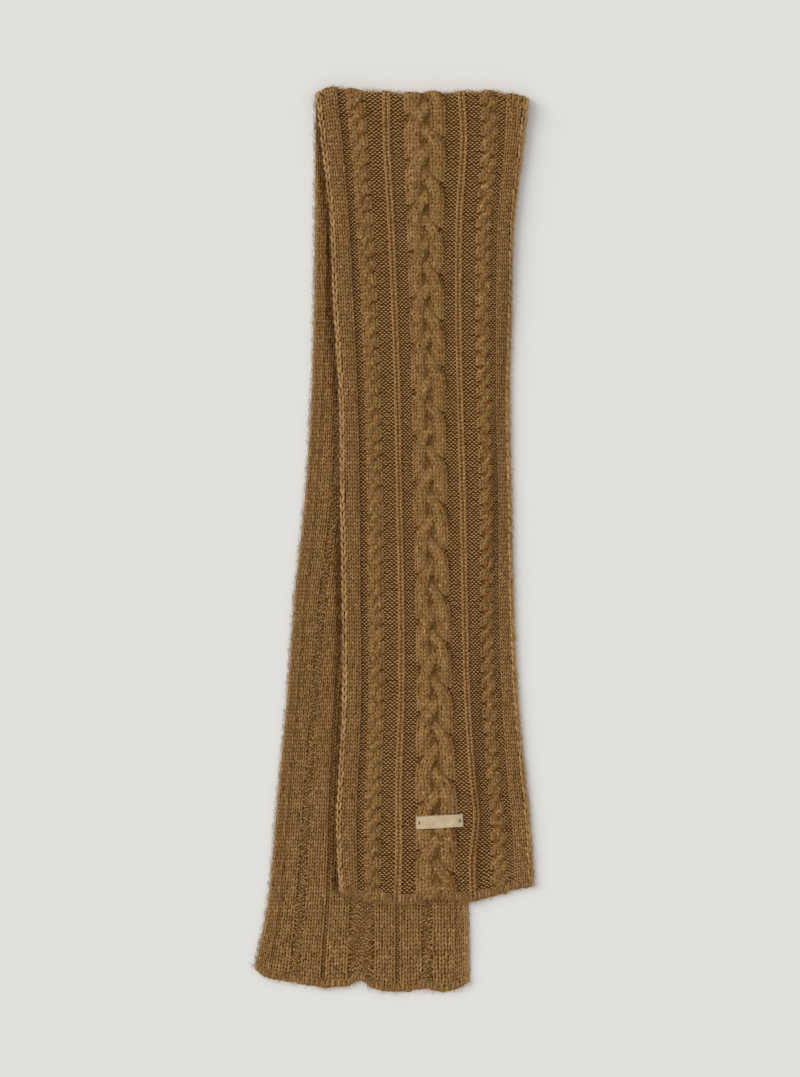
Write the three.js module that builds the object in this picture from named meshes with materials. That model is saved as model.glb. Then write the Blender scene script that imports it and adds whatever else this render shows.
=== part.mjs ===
// A cable-knit scarf, laid flat and folded once across its middle.
// Millimetres, +Z up. X runs across the scarf, +Y towards the fold, and Z = 0 is the table.
// Places on the cloth are given as a wale (a column of stitches, counted from the left edge)
// and a row (counted from the fold down to the hem).
import * as THREE from "three";

// The knitting: its gauge and the lengths of the two tails
const ROW = 4.06; // height of one knitted row
const FRONT_ROWS = 209;
const BACK_ROWS = 231;
const FOLD_ROWS = 3; // rows that go round the fold

// The cloth: a ground wall with the cables raised on it
const WALL = 3.4; // thickness of the purl ground
const SEAM = 0.3; // gap between pieces
const FOLD_SEAM = 0.6; // gap at the fold, whose two sides wave between unlike points
const LIP = 0.45; // share of the thickness that is left at a raw edge
const EDGE_ROUND = 2.6; // width over which an edge rounds down to its lip

// Heights of the raised bands over the ground, on each face
const EDGE_CREST = 1.0;
const RIB_CREST = 1.3;
const ROPE_CREST = 2.2;
const ROPE_GROOVE = 0.9;
const BRAID_CREST = 2.8;
const WRONG_CREST = 0.9; // knit bands that stand up on the wrong side

// The places of the cables' turns, in rows
const ROPE_TURN = 4; // rows from one crossing of a rope cable to the next
const BRAID_TURN = 36; // rows in which one strand of the plait comes back to its place
const LEFT_ROPE_PHASE = 1.5;
const RIGHT_ROPE_PHASE = 3.1;
const BRAID_PHASE = 8.5;
const BRAID_STRANDS = 3;

// The fold and the way the front tail lies on the back tail
const FOLD_Y = 471.9; // where the bend starts, 5 mm short of the scarf's top
const BEND_GAP = 1.2; // radius of the slit inside the bend
const BEND_REACH = 30; // length over which the front tail comes down from the bend
const BACK_TOP = WALL + WRONG_CREST;
const FRONT_UNDER = BACK_TOP + SEAM;
const DRAPE_START = 1.5; // how far past the back tail's edge the front tail starts to drop
const DRAPE_WIDTH = 16; // width over which it reaches the table
const HIDDEN_FADE = 5; // width over which the back tail's bands fade out under the front

// The bands of the stitch chart, from the left edge to the middle: stitches in each band, and the
// width of one of its stitches on the right side, where cables spread, and on the wrong side
const halfChart = [
  { band: "edge", stitches: 4, rightWidth: 5.0, wrongWidth: 3.8 },
  { band: "gutter", stitches: 3, rightWidth: 2.6, wrongWidth: 5.6 },
  { band: "rope", stitches: 4, rightWidth: 4.0, wrongWidth: 2.3 },
  { band: "gutter", stitches: 4, rightWidth: 3.3, wrongWidth: 5.2 },
  { band: "rib", stitches: 2, rightWidth: 4.5, wrongWidth: 1.7 },
  { band: "gutter", stitches: 4, rightWidth: 3.3, wrongWidth: 5.2 },
];
const braidBand = { band: "braid", stitches: 9, rightWidth: 4.1, wrongWidth: 2.7 };

// Where a band's columns of points stand across it, and how many rows lie between its points
const bandGrid = {
  edge: { marks: [0.16, 0.5, 0.9], pitch: 6 },
  gutter: { marks: [0.14, 0.86], pitch: 6 },
  rope: { marks: [0.06, 0.3, 0.5, 0.7, 0.94], pitch: 4 / 3 },
  rib: { marks: [0.08, 0.5, 0.92], pitch: 6 },
  braid: { marks: [0.03, 0.17, 0.33, 0.5, 0.67, 0.83, 0.97], pitch: 1.5 },
};

// The lines that the bands' middles follow down each tail, as laid on the table
const frontLines = [
  { y: 477, left: -81, ropeLeft: -40, ribLeft: -6, braid: 35, ribRight: 73, ropeRight: 102, right: 145 },
  { y: 432, left: -75, ropeLeft: -36, ribLeft: -6, braid: 35, ribRight: 76, ropeRight: 104, right: 140 },
  { y: 342, left: -65, ropeLeft: -30, ribLeft: -1, braid: 35, ribRight: 71, ropeRight: 99, right: 129 },
  { y: 246, left: -61, ropeLeft: -24, ribLeft: 3, braid: 37, ribRight: 70, ropeRight: 98, right: 126 },
  { y: 151, left: -55, ropeLeft: -21, ribLeft: 6, braid: 39, ribRight: 72, ropeRight: 99, right: 124 },
  { y: 44, left: -54, ropeLeft: -18, ribLeft: 8, braid: 40, ribRight: 75, ropeRight: 102, right: 126 },
  { y: -62, left: -52, ropeLeft: -18, ribLeft: 10, braid: 42, ribRight: 77, ropeRight: 102, right: 128 },
  { y: -168, left: -52, ropeLeft: -17, ribLeft: 10, braid: 45, ribRight: 80, ropeRight: 104, right: 133 },
  { y: -253, left: -56, ropeLeft: -20, ribLeft: 7, braid: 46, ribRight: 86, ropeRight: 108, right: 141 },
  { y: -290, left: -58, ropeLeft: -21, ribLeft: 7, braid: 46, ribRight: 90, ropeRight: 112, right: 145 },
  { y: -338, left: -57, ropeLeft: -21, ribLeft: 7, braid: 47, ribRight: 85, ropeRight: 115, right: 148 },
  { y: -381, left: -54, ropeLeft: -21, ribLeft: 5, braid: 49, ribRight: 86, ropeRight: 114, right: 150 },
];
const backLines = [
  { y: 477, left: -81, ropeLeft: -40, ribLeft: -6, braid: 35, ribRight: 73, ropeRight: 102, right: 145 },
  { y: 363, left: -82, ropeLeft: -45, ribLeft: -15, braid: 24, ribRight: 62, ropeRight: 91, right: 123 },
  { y: 246, left: -83, ropeLeft: -49, ribLeft: -22, braid: 15, ribRight: 51, ropeRight: 79, right: 112 },
  { y: 151, left: -86, ropeLeft: -55, ribLeft: -30, braid: 6, ribRight: 43, ropeRight: 70, right: 103 },
  { y: 44, left: -93, ropeLeft: -61, ribLeft: -37, braid: -1, ribRight: 35, ropeRight: 63, right: 97 },
  { y: -62, left: -104, ropeLeft: -74, ribLeft: -50, braid: -14, ribRight: 21, ropeRight: 49, right: 87 },
  { y: -168, left: -112, ropeLeft: -82, ribLeft: -60, braid: -24, ribRight: 12, ropeRight: 40, right: 82 },
  { y: -274, left: -122, ropeLeft: -90, ribLeft: -65, braid: -30, ribRight: 7, ropeRight: 37, right: 80 },
  { y: -381, left: -132, ropeLeft: -97, ribLeft: -68, braid: -32, ribRight: 6, ropeRight: 37, right: 80 },
  { y: -434, left: -142, ropeLeft: -101, ribLeft: -72, braid: -32, ribRight: 6, ropeRight: 37, right: 81 },
  { y: -471, left: -151, ropeLeft: -104, ribLeft: -74, braid: -33, ribRight: 6, ropeRight: 38, right: 81 },
];

// How far the fold, at an x, and the two hems, at a wale, wander from a straight line
const foldWave = [
  { at: -81, rise: -3 },
  { at: -66, rise: 3 },
  { at: -55, rise: 4 },
  { at: -40, rise: 2 },
  { at: -6, rise: 0.5 },
  { at: 29, rise: -3 },
  { at: 45, rise: -1.5 },
  { at: 113, rise: -0.5 },
  { at: 124, rise: -3 },
  { at: 145, rise: -8 },
];
const frontHemWave = [
  { at: 0, rise: 7.5 },
  { at: 4, rise: 0.5 },
  { at: 9, rise: -1.5 },
  { at: 19, rise: -4.5 },
  { at: 25, rise: 0.5 },
  { at: 34, rise: -2.5 },
  { at: 37, rise: -1 },
  { at: 42, rise: 4.5 },
  { at: 46, rise: 9.5 },
  { at: 51, rise: 13 },
];
const backHemWave = [
  { at: 0, rise: 15 },
  { at: 2, rise: 8.5 },
  { at: 5, rise: 3 },
  { at: 9, rise: 0.5 },
  { at: 16, rise: -5 },
  { at: 20, rise: -4.5 },
  { at: 25.5, rise: 2 },
  { at: 30, rise: -7 },
  { at: 35, rise: -9.5 },
  { at: 42, rise: -6.5 },
  { at: 46, rise: -9.5 },
  { at: 51, rise: -1 },
];
const WAVE_REACH = 16; // rows over which a hem's or the fold's wave dies out

// The woven label, sewn across the plait by a tack at each end
const label = {
  x: 50.2,
  y: -296,
  width: 50,
  height: 13.5,
  thickness: 0.9,
  tilt: THREE.MathUtils.degToRad(3),
  arch: 6.8, // wales from the plait's middle to where the label's arch meets the ground
  tackInset: 3.4,
  tackWidth: 1.3,
  tackHeight: 3.2,
};

// The yarn's and the label's looks
const yarn = new THREE.MeshStandardMaterial({ color: "#7b5930", roughness: 0.95, metalness: 0 });
const yarnBack = new THREE.MeshStandardMaterial({ color: "#75552e", roughness: 0.95, metalness: 0 });
const labelCloth = new THREE.MeshStandardMaterial({ color: "#c0ae8e", roughness: 0.8, metalness: 0 });
const tackThread = new THREE.MeshStandardMaterial({ color: "#4a3a26", roughness: 0.9, metalness: 0 });

const { clamp, lerp, smoothstep } = THREE.MathUtils;

// The whole chart: the left half, the plait, and the left half mirrored
const chart = [...halfChart, braidBand, ...[...halfChart].reverse()];
let stitchesSoFar = 0;
const bands = chart.map((row) => {
  const start = stitchesSoFar;
  stitchesSoFar += row.stitches;
  return { ...row, start, end: stitchesSoFar, middle: (start + stitchesSoFar) / 2 };
});
const WALES = stitchesSoFar;
const middleOf = (name, nth = 0) => bands.filter((b) => b.band === name)[nth].middle;
const BRAID_MIDDLE = middleOf("braid");
const anchorWales = [
  0,
  middleOf("rope"),
  middleOf("rib"),
  BRAID_MIDDLE,
  middleOf("rib", 1),
  middleOf("rope", 1),
  WALES,
];

function bandAt(wale) {
  return bands.find((b) => wale <= b.end) ?? bands[bands.length - 1];
}

// Cloth width from the left edge to a wale, with each band's own stitch width
function clothWidth(wale, widthKey) {
  return bands.reduce((sum, b) => sum + clamp(wale - b.start, 0, b.stitches) * b[widthKey], 0);
}

// A smooth curve through a table's rows: how much the cloth's edge rises at each place
function wave(table) {
  const curve = new THREE.CubicInterpolant(
    table.map((row) => row.at),
    table.map((row) => row.rise),
    1,
  );
  return (at) => curve.evaluate(at)[0];
}

// Returns place(wale, y): the x of a wale on a tail at that y, from the tail's line table
function laidOut(lines, widthKey) {
  const downwards = lines.map((row) => -row.y);
  const places = lines.flatMap((row) => [
    row.left,
    row.ropeLeft,
    row.ribLeft,
    row.braid,
    row.ribRight,
    row.ropeRight,
    row.right,
  ]);
  const curve = new THREE.CubicInterpolant(downwards, places, anchorWales.length);
  const anchorWidths = anchorWales.map((wale) => clothWidth(wale, widthKey));
  return (wale, y) => {
    const xs = curve.evaluate(-y);
    const width = clothWidth(wale, widthKey);
    const next = clamp(
      anchorWidths.findIndex((w) => w >= width),
      1,
      anchorWales.length - 1,
    );
    const share = (width - anchorWidths[next - 1]) / (anchorWidths[next] - anchorWidths[next - 1]);
    return lerp(xs[next - 1], xs[next], share);
  };
}

const frontX = laidOut(frontLines, "rightWidth");
const backX = laidOut(backLines, "wrongWidth");
const foldRise = wave(foldWave);

// The y of a place on a tail. Its rows are level, but for the waves of the fold and the hem.
function tailY(rows, xAt, hemRise) {
  return (wale, row) => {
    const level = FOLD_Y - FOLD_SEAM - row * ROW;
    const nearFold = 1 - smoothstep(row, 0, WAVE_REACH);
    const nearHem = smoothstep(row, rows - WAVE_REACH, rows);
    return level + nearFold * foldRise(xAt(wale, FOLD_Y)) + nearHem * hemRise(wale);
  };
}
const frontY = tailY(FRONT_ROWS, frontX, wave(frontHemWave));
const backY = tailY(BACK_ROWS, backX, wave(backHemWave));

// A band's plain rounded crest: 1 in the band's middle and 0 at its sides
function crest(wale, band) {
  const across = (wale - band.middle) / (band.stitches / 2);
  return Math.sqrt(Math.max(0, 1 - across ** 4));
}

// A rope cable: two strands twisted round each other leave slanting grooves
function ropeRelief(wale, row, band) {
  const phase = band.start < BRAID_MIDDLE ? LEFT_ROPE_PHASE : RIGHT_ROPE_PHASE;
  const across = (wale - band.middle) / (band.stitches / 2);
  const turn = (row - phase) / ROPE_TURN + 0.5 * across;
  const groove = 0.5 - 0.5 * Math.cos(2 * Math.PI * turn);
  return crest(wale, band) * (ROPE_CREST - ROPE_GROOVE * (1 - groove) ** 2);
}

// The plait: each strand swings from side to side and goes over as it moves outwards
function braidRelief(wale, row, band) {
  const swing = band.stitches / BRAID_STRANDS;
  const strandRadius = swing * 0.58;
  const lift = BRAID_CREST * 0.3;
  let top = 0;
  for (let strand = 0; strand < BRAID_STRANDS; strand++) {
    const angle = 2 * Math.PI * ((row - BRAID_PHASE) / BRAID_TURN + strand / BRAID_STRANDS);
    const offset = (wale - band.middle - swing * Math.sin(angle)) / strandRadius;
    const round = Math.sqrt(Math.max(0, 1 - offset ** 2));
    top = Math.max(top, (BRAID_CREST - lift) * round + lift * Math.sin(2 * angle) * round);
  }
  return top;
}

function rightSideRelief(wale, row) {
  const band = bandAt(wale);
  if (band.band === "edge") return EDGE_CREST * crest(wale, band);
  if (band.band === "rib") return RIB_CREST * crest(wale, band);
  if (band.band === "rope") return ropeRelief(wale, row, band);
  if (band.band === "braid") return braidRelief(wale, row, band);
  return 0;
}

// On the wrong side the purl gutters are knit bands that stand up between the cables' backs
function wrongSideRelief(wale) {
  const band = bandAt(wale);
  if (band.band === "gutter") return WRONG_CREST * crest(wale, band);
  if (band.band === "edge") return EDGE_CREST * 0.5 * crest(wale, band);
  return 0;
}

// How much of the full thickness is left at a distance from an edge
function roundedEdge(distance) {
  const inside = clamp(distance / EDGE_ROUND, 0, 1);
  return LIP + (1 - LIP) * Math.sqrt(1 - (1 - inside) ** 2);
}

function edgeShare(wale, row, rows, widthKey) {
  const fromLeft = clothWidth(wale, widthKey);
  const fromRight = clothWidth(WALES, widthKey) - fromLeft;
  const fromHem = (rows - row) * ROW;
  return roundedEdge(Math.min(fromLeft, fromRight)) * roundedEdge(fromHem);
}

// The front tail lies on the back tail, opens a little at the bend, and drops to the table
// where it reaches past the back tail's right edge
function frontUnder(wale, row) {
  const y = frontY(wale, row);
  const past = frontX(wale, y) - backX(WALES, y);
  const onBack = 1 - smoothstep(past, DRAPE_START, DRAPE_START + DRAPE_WIDTH);
  const nearBend = 1 - smoothstep(row * ROW, 0, BEND_REACH);
  return lerp(FRONT_UNDER * onBack, BACK_TOP + 2 * BEND_GAP, nearBend);
}

function frontThickness(wale, row) {
  return (WALL + rightSideRelief(wale, row)) * edgeShare(wale, row, FRONT_ROWS, "rightWidth");
}

// The back tail is plain where the front tail covers it
function backThickness(wale, row) {
  const y = backY(wale, row);
  const x = backX(wale, y);
  const hemY = frontY(BRAID_MIDDLE, FRONT_ROWS);
  const shownLeft = 1 - smoothstep(x, frontX(0, y) - 2 * HIDDEN_FADE, frontX(0, y) - HIDDEN_FADE);
  const shownBelow = 1 - smoothstep(y, hemY - 3 * HIDDEN_FADE, hemY - 2 * HIDDEN_FADE);
  const shown = Math.max(shownLeft, shownBelow);
  const height = lerp(BACK_TOP, WALL + wrongSideRelief(wale), shown);
  return height * edgeShare(wale, row, BACK_ROWS, "wrongWidth");
}

// A growing closed mesh: points go in as chains, and triangles are zipped between two chains
class Skin {
  constructor() {
    this.points = [];
    this.faces = [];
  }

  // Adds a chain of points; each has the measure it is matched by and its place
  chain(measures, placeOf) {
    return measures.map((measure) => {
      this.points.push(placeOf(measure));
      return { measure, index: this.points.length - 1 };
    });
  }

  // Fills the strip between two chains that run side by side, whatever their numbers of points
  zip(one, other) {
    let i = 0;
    let j = 0;
    while (i < one.length - 1 || j < other.length - 1) {
      const oneNext = i < one.length - 1 ? one[i + 1].measure : Infinity;
      const otherNext = j < other.length - 1 ? other[j + 1].measure : Infinity;
      if (oneNext <= otherNext) {
        this.faces.push([one[i].index, one[i + 1].index, other[j].index]);
        i += 1;
      } else {
        this.faces.push([one[i].index, other[j + 1].index, other[j].index]);
        j += 1;
      }
    }
  }

  mesh(name, material) {
    const geometry = new THREE.BufferGeometry();
    geometry.setAttribute("position", new THREE.Float32BufferAttribute(this.points.flat(), 3));
    geometry.setIndex(this.faces.flat());
    const mesh = new THREE.Mesh(geometry, material);
    mesh.name = name;
    return mesh;
  }
}

// Rows from the fold to the hem, a pitch apart, with more where the hem rounds down
function stations(rows, pitch) {
  const steps = Math.round((rows - 2) / pitch);
  const even = Array.from({ length: steps }, (_, i) => (i / steps) * (rows - 1));
  const hem = [rows - 0.8, rows - 0.25, rows];
  return [...even, ...hem];
}

// The wales where a face of the cloth has a column of points, and the rows between its points
function faceColumns(pitchOf) {
  const inner = bands.flatMap((band) =>
    bandGrid[band.band].marks.map((mark) => ({
      wale: band.start + mark * band.stitches,
      pitch: pitchOf(band),
    })),
  );
  const rim = pitchOf(bands[0]);
  return [{ wale: 0, pitch: rim }, { wale: 0.2, pitch: rim }, ...inner, { wale: WALES - 0.2, pitch: rim }, {
    wale: WALES,
    pitch: rim,
  }];
}

// One tail: an outer face of many columns over a plain underside of few, zipped at the rims
function tail({ name, material, rows, xAt, yAt, under, thickness, upper, lower }) {
  const skin = new Skin();
  const column = (wale, pitch, isUpper) =>
    skin.chain(stations(rows, pitch), (row) => {
      const y = yAt(wale, row);
      const z = under(wale, row) + (isUpper ? thickness(wale, row) : 0);
      return [xAt(wale, y), y, z];
    });
  const top = upper.map(({ wale, pitch }) => column(wale, pitch, true));
  const bottom = lower.map(({ wale, pitch }) => column(wale, pitch, false));
  for (let i = 1; i < top.length; i++) skin.zip(top[i - 1], top[i]);
  for (let i = 1; i < bottom.length; i++) skin.zip(bottom[i], bottom[i - 1]);
  skin.zip(bottom[0], top[0]);
  skin.zip(top[top.length - 1], bottom[bottom.length - 1]);

  // The two ends, closed between the upper and the lower face
  const endOf = (columns, wales, pick) =>
    columns.map((chain, i) => ({ measure: wales[i].wale, index: pick(chain).index }));
  skin.zip(endOf(top, upper, (c) => c[0]), endOf(bottom, lower, (c) => c[0]));
  skin.zip(endOf(bottom, lower, (c) => c.at(-1)), endOf(top, upper, (c) => c.at(-1)));
  return skin.mesh(name, material);
}

// The front tail's underside has close columns where it drops to the table
const DRAPE_FROM = 29;
const frontUnderColumns = [0, 12, 24].map((wale) => ({ wale, pitch: 6 }));
for (let wale = DRAPE_FROM; wale <= WALES; wale += 2) frontUnderColumns.push({ wale, pitch: 6 });

const frontTail = tail({
  name: "front_tail",
  material: yarn,
  rows: FRONT_ROWS,
  xAt: frontX,
  yAt: frontY,
  under: frontUnder,
  thickness: frontThickness,
  upper: faceColumns((band) => bandGrid[band.band].pitch),
  lower: frontUnderColumns,
});

const BACK_PITCH = 7;
const backTail = tail({
  name: "back_tail",
  material: yarnBack,
  rows: BACK_ROWS,
  xAt: backX,
  yAt: backY,
  under: () => 0,
  thickness: backThickness,
  upper: faceColumns(() => BACK_PITCH),
  lower: [0, WALES / 2, WALES].map((wale) => ({ wale, pitch: BACK_PITCH })),
});

// The fold: the same cloth taken round half a turn, with its cables fading towards the table
function fold() {
  const STEPS = 8;
  const wales = faceColumns(() => 1).map((column) => column.wale);
  const skin = new Skin();
  const slitMiddle = BACK_TOP + BEND_GAP;
  const ring = (wale) => {
    const height = BACK_TOP + 2 * BEND_GAP + WALL;
    const angles = Array.from({ length: STEPS + 1 }, (_, i) => (i / STEPS) * Math.PI);
    const x = frontX(wale, FOLD_Y);
    const y = FOLD_Y + foldRise(x);
    const share = edgeShare(wale, 0, FRONT_ROWS, "rightWidth");
    const outer = skin.chain(angles, (angle) => {
      const rows = -(1 - angle / Math.PI) * FOLD_ROWS;
      const raised = rightSideRelief(wale, rows) * smoothstep(angle, 0, Math.PI);
      const radius = height / 2 + raised;
      const outerY = Math.sin(angle) * radius;
      const outerZ = height / 2 - Math.cos(angle) * radius;
      const innerY = Math.sin(angle) * BEND_GAP;
      const innerZ = slitMiddle - Math.cos(angle) * BEND_GAP;
      return [x, y + lerp(innerY, outerY, share), lerp(innerZ, outerZ, share)];
    });
    const inner = skin.chain(angles, (angle) => [
      x,
      y + Math.sin(angle) * BEND_GAP,
      slitMiddle - Math.cos(angle) * BEND_GAP,
    ]);
    return { outer, inner };
  };
  const rings = wales.map(ring);
  for (let i = 1; i < rings.length; i++) {
    skin.zip(rings[i - 1].outer, rings[i].outer);
    skin.zip(rings[i].inner, rings[i - 1].inner);
    skin.zip([rings[i].outer[0], rings[i].inner[0]], [rings[i - 1].outer[0], rings[i - 1].inner[0]]);
    skin.zip(
      [rings[i - 1].outer.at(-1), rings[i - 1].inner.at(-1)],
      [rings[i].outer.at(-1), rings[i].inner.at(-1)],
    );
  }
  skin.zip(rings[0].inner, rings[0].outer);
  skin.zip(rings.at(-1).outer, rings.at(-1).inner);
  return skin.mesh("fold", yarn);
}

// The wale of the front tail that lies at an x, found by halving
function frontWaleAt(x, y) {
  let low = 0;
  let high = WALES;
  for (let i = 0; i < 30; i++) {
    const middle = (low + high) / 2;
    if (frontX(middle, y) < x) low = middle;
    else high = middle;
  }
  return low;
}

// Where a thing sewn on the plait lies: an arch just clear of the strands, down to the ground
function seatOnFront(x, y) {
  const wale = frontWaleAt(x, y);
  const row = (FOLD_Y - FOLD_SEAM - y) / ROW;
  const fall = clamp(Math.abs(wale - BRAID_MIDDLE) / label.arch, 0, 1) ** 6;
  return frontUnder(wale, row) + WALL + BRAID_CREST * (1 - fall) + SEAM;
}

// A thin sheet on the front tail, made from the cloth's points moved out
function sewnSheet({ name, material, across, along, width, height, base, thickness, columns }) {
  const skin = new Skin();
  const place = (u, v, raise) => {
    const x = label.x + u * Math.cos(label.tilt) - v * Math.sin(label.tilt);
    const y = label.y + u * Math.sin(label.tilt) + v * Math.cos(label.tilt);
    return [x, y, seatOnFront(x, y) + base + raise];
  };
  const us = Array.from({ length: columns + 1 }, (_, i) => across - width / 2 + (i * width) / columns);
  const sides = [along + height / 2, along - height / 2];
  const ring = (u) => ({
    upper: skin.chain([0, 1], (side) => place(u, sides[side], thickness)),
    lower: skin.chain([0, 1], (side) => place(u, sides[side], 0)),
  });
  const rings = us.map(ring);
  for (let i = 1; i < rings.length; i++) {
    const before = rings[i - 1];
    const after = rings[i];
    skin.zip(before.upper, after.upper);
    skin.zip(after.lower, before.lower);
    skin.zip([before.lower[0], before.upper[0]], [after.lower[0], after.upper[0]]);
    skin.zip([after.lower[1], after.upper[1]], [before.lower[1], before.upper[1]]);
  }
  skin.zip(rings[0].lower, rings[0].upper);
  skin.zip(rings.at(-1).upper, rings.at(-1).lower);
  return skin.mesh(name, material);
}

const labelSheet = sewnSheet({
  name: "label",
  material: labelCloth,
  across: 0,
  along: 0,
  width: label.width,
  height: label.height,
  base: 0,
  thickness: label.thickness,
  columns: 14,
});

function labelTack(name, side) {
  return sewnSheet({
    name,
    material: tackThread,
    across: side * (label.width / 2 - label.tackInset),
    along: 0,
    width: label.tackWidth,
    height: label.tackHeight,
    base: label.thickness + SEAM,
    thickness: 0.8,
    columns: 2,
  });
}

const scarf = new THREE.Group();
scarf.add(backTail, fold(), frontTail);
scarf.add(labelSheet, labelTack("label_tack_left", -1), labelTack("label_tack_right", 1));

// The origin is put under the middle of the whole scarf, on the table
const box = new THREE.Box3().setFromObject(scarf);
const middle = box.getCenter(new THREE.Vector3());
scarf.position.set(-middle.x, -middle.y, -box.min.z);

export default scarf;
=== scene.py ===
"""A cable-knit scarf in brushed camel yarn, laid flat and folded once across its middle.

Lengths are millimetres until put_mesh() turns them to metres. A place on the cloth is a wale (a
column of stitches, counted from the left edge), a row (counted from the fold to the hem) and a
height over the knitted ground. Yarn is real geometry: each leg of a stitch is a short closed tube.
"""

from __future__ import annotations

import logging
from collections.abc import Callable
from dataclasses import dataclass, field, replace
from enum import Enum

import bpy
import numpy as np
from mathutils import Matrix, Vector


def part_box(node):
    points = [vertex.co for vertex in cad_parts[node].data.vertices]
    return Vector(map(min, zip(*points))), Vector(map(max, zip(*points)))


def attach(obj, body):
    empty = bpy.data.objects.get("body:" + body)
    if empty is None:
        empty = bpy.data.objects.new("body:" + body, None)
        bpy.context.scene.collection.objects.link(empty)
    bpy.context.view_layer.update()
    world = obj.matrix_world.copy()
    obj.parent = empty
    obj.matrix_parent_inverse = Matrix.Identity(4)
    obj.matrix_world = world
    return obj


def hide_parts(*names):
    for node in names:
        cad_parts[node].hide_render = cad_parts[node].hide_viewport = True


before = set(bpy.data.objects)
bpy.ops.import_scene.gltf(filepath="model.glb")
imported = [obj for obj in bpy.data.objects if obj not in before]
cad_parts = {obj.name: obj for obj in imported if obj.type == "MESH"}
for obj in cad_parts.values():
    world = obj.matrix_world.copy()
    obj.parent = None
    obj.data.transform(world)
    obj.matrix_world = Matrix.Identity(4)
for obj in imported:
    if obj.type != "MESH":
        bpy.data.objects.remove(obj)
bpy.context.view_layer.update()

Array = np.ndarray
Keep = Callable[[Array, Array], Array]  # takes wales and rows and says which of them show
LOG = logging.getLogger("scarf")
MM = 0.001

# The knitting's gauge, as in the solids
ROW = 4.06
WALL = 3.4
SEAM = 0.3
FOLD_SEAM = 0.6
FOLD_ROWS = 4
FRONT_ROWS = 209
BACK_ROWS = 231

# How the front tail lies on the back tail, and the bend between them
FOLD_Y = 471.9
BEND_GAP = 1.2
BEND_REACH = 30.0
WRONG_CREST = 0.9
BACK_TOP = WALL + WRONG_CREST
FRONT_UNDER = BACK_TOP + SEAM
DRAPE_START = 1.5
DRAPE_WIDTH = 16.0
WAVE_REACH = 16

# Cable turns, in rows
ROPE_TURN = 4
BRAID_TURN = 36
BRAID_PHASE = 8.5
LEFT_ROPE_PHASE = 1.5
RIGHT_ROPE_PHASE = 3.1


class Side(Enum):
    """The face of the cloth that looks up."""

    RIGHT = "right"
    WRONG = "wrong"


class Kind(Enum):
    """The bands of the stitch chart."""

    EDGE = "edge"
    GUTTER = "gutter"
    ROPE = "rope"
    RIB = "rib"
    BRAID = "braid"


@dataclass(frozen=True)
class Band:
    """One band of the chart, with a stitch's width on the right and on the wrong side."""

    kind: Kind
    stitches: int
    right_width: float
    wrong_width: float
    start: int = 0

    @property
    def end(self) -> int:
        """The wale where the band ends."""
        return self.start + self.stitches

    @property
    def middle(self) -> float:
        """The wale of the band's middle."""
        return self.start + self.stitches / 2


HALF_CHART = (
    Band(Kind.EDGE, 4, 5.0, 3.8),
    Band(Kind.GUTTER, 3, 2.6, 5.6),
    Band(Kind.ROPE, 4, 4.0, 2.3),
    Band(Kind.GUTTER, 4, 3.3, 5.2),
    Band(Kind.RIB, 2, 4.5, 1.7),
    Band(Kind.GUTTER, 4, 3.3, 5.2),
)
PLAIT_BAND = Band(Kind.BRAID, 9, 4.1, 2.7)


def whole_chart() -> list[Band]:
    """Lays the left half, the plait and the mirrored half side by side.

    Returns:
        The bands with their first wales filled in.
    """
    bands: list[Band] = []
    start = 0
    for band in (*HALF_CHART, PLAIT_BAND, *reversed(HALF_CHART)):
        bands.append(replace(band, start=start))
        start += band.stitches
    return bands


CHART = whole_chart()
WALES = CHART[-1].end


def middle_of(kind: Kind, nth: int = 0) -> float:
    """Returns the middle wale of the nth band of a kind."""
    return [band.middle for band in CHART if band.kind is kind][nth]


PLAIT_MIDDLE = middle_of(Kind.BRAID)
ANCHORS = np.array(
    [
        0,
        middle_of(Kind.ROPE),
        middle_of(Kind.RIB),
        PLAIT_MIDDLE,
        middle_of(Kind.RIB, 1),
        middle_of(Kind.ROPE, 1),
        WALES,
    ]
)

# The lines that the anchors follow down each tail: y, left edge, left rope, left rib, plait, right
# rib, right rope and right edge
FRONT_LINES = np.array(
    [
        (477, -81, -40, -6, 35, 73, 102, 145),
        (432, -75, -36, -6, 35, 76, 104, 140),
        (342, -65, -30, -1, 35, 71, 99, 129),
        (246, -61, -24, 3, 37, 70, 98, 126),
        (151, -55, -21, 6, 39, 72, 99, 124),
        (44, -54, -18, 8, 40, 75, 102, 126),
        (-62, -52, -18, 10, 42, 77, 102, 128),
        (-168, -52, -17, 10, 45, 80, 104, 133),
        (-253, -56, -20, 7, 46, 86, 108, 141),
        (-290, -58, -21, 7, 46, 90, 112, 145),
        (-338, -57, -21, 7, 47, 85, 115, 148),
        (-381, -54, -21, 5, 49, 86, 114, 150),
    ],
    dtype=float,
)
BACK_LINES = np.array(
    [
        (477, -81, -40, -6, 35, 73, 102, 145),
        (363, -82, -45, -15, 24, 62, 91, 123),
        (246, -83, -49, -22, 15, 51, 79, 112),
        (151, -86, -55, -30, 6, 43, 70, 103),
        (44, -93, -61, -37, -1, 35, 63, 97),
        (-62, -104, -74, -50, -14, 21, 49, 87),
        (-168, -112, -82, -60, -24, 12, 40, 82),
        (-274, -122, -90, -65, -30, 7, 37, 80),
        (-381, -132, -97, -68, -32, 6, 37, 80),
        (-434, -142, -101, -72, -32, 6, 37, 81),
        (-471, -151, -104, -74, -33, 6, 38, 81),
    ],
    dtype=float,
)

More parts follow.
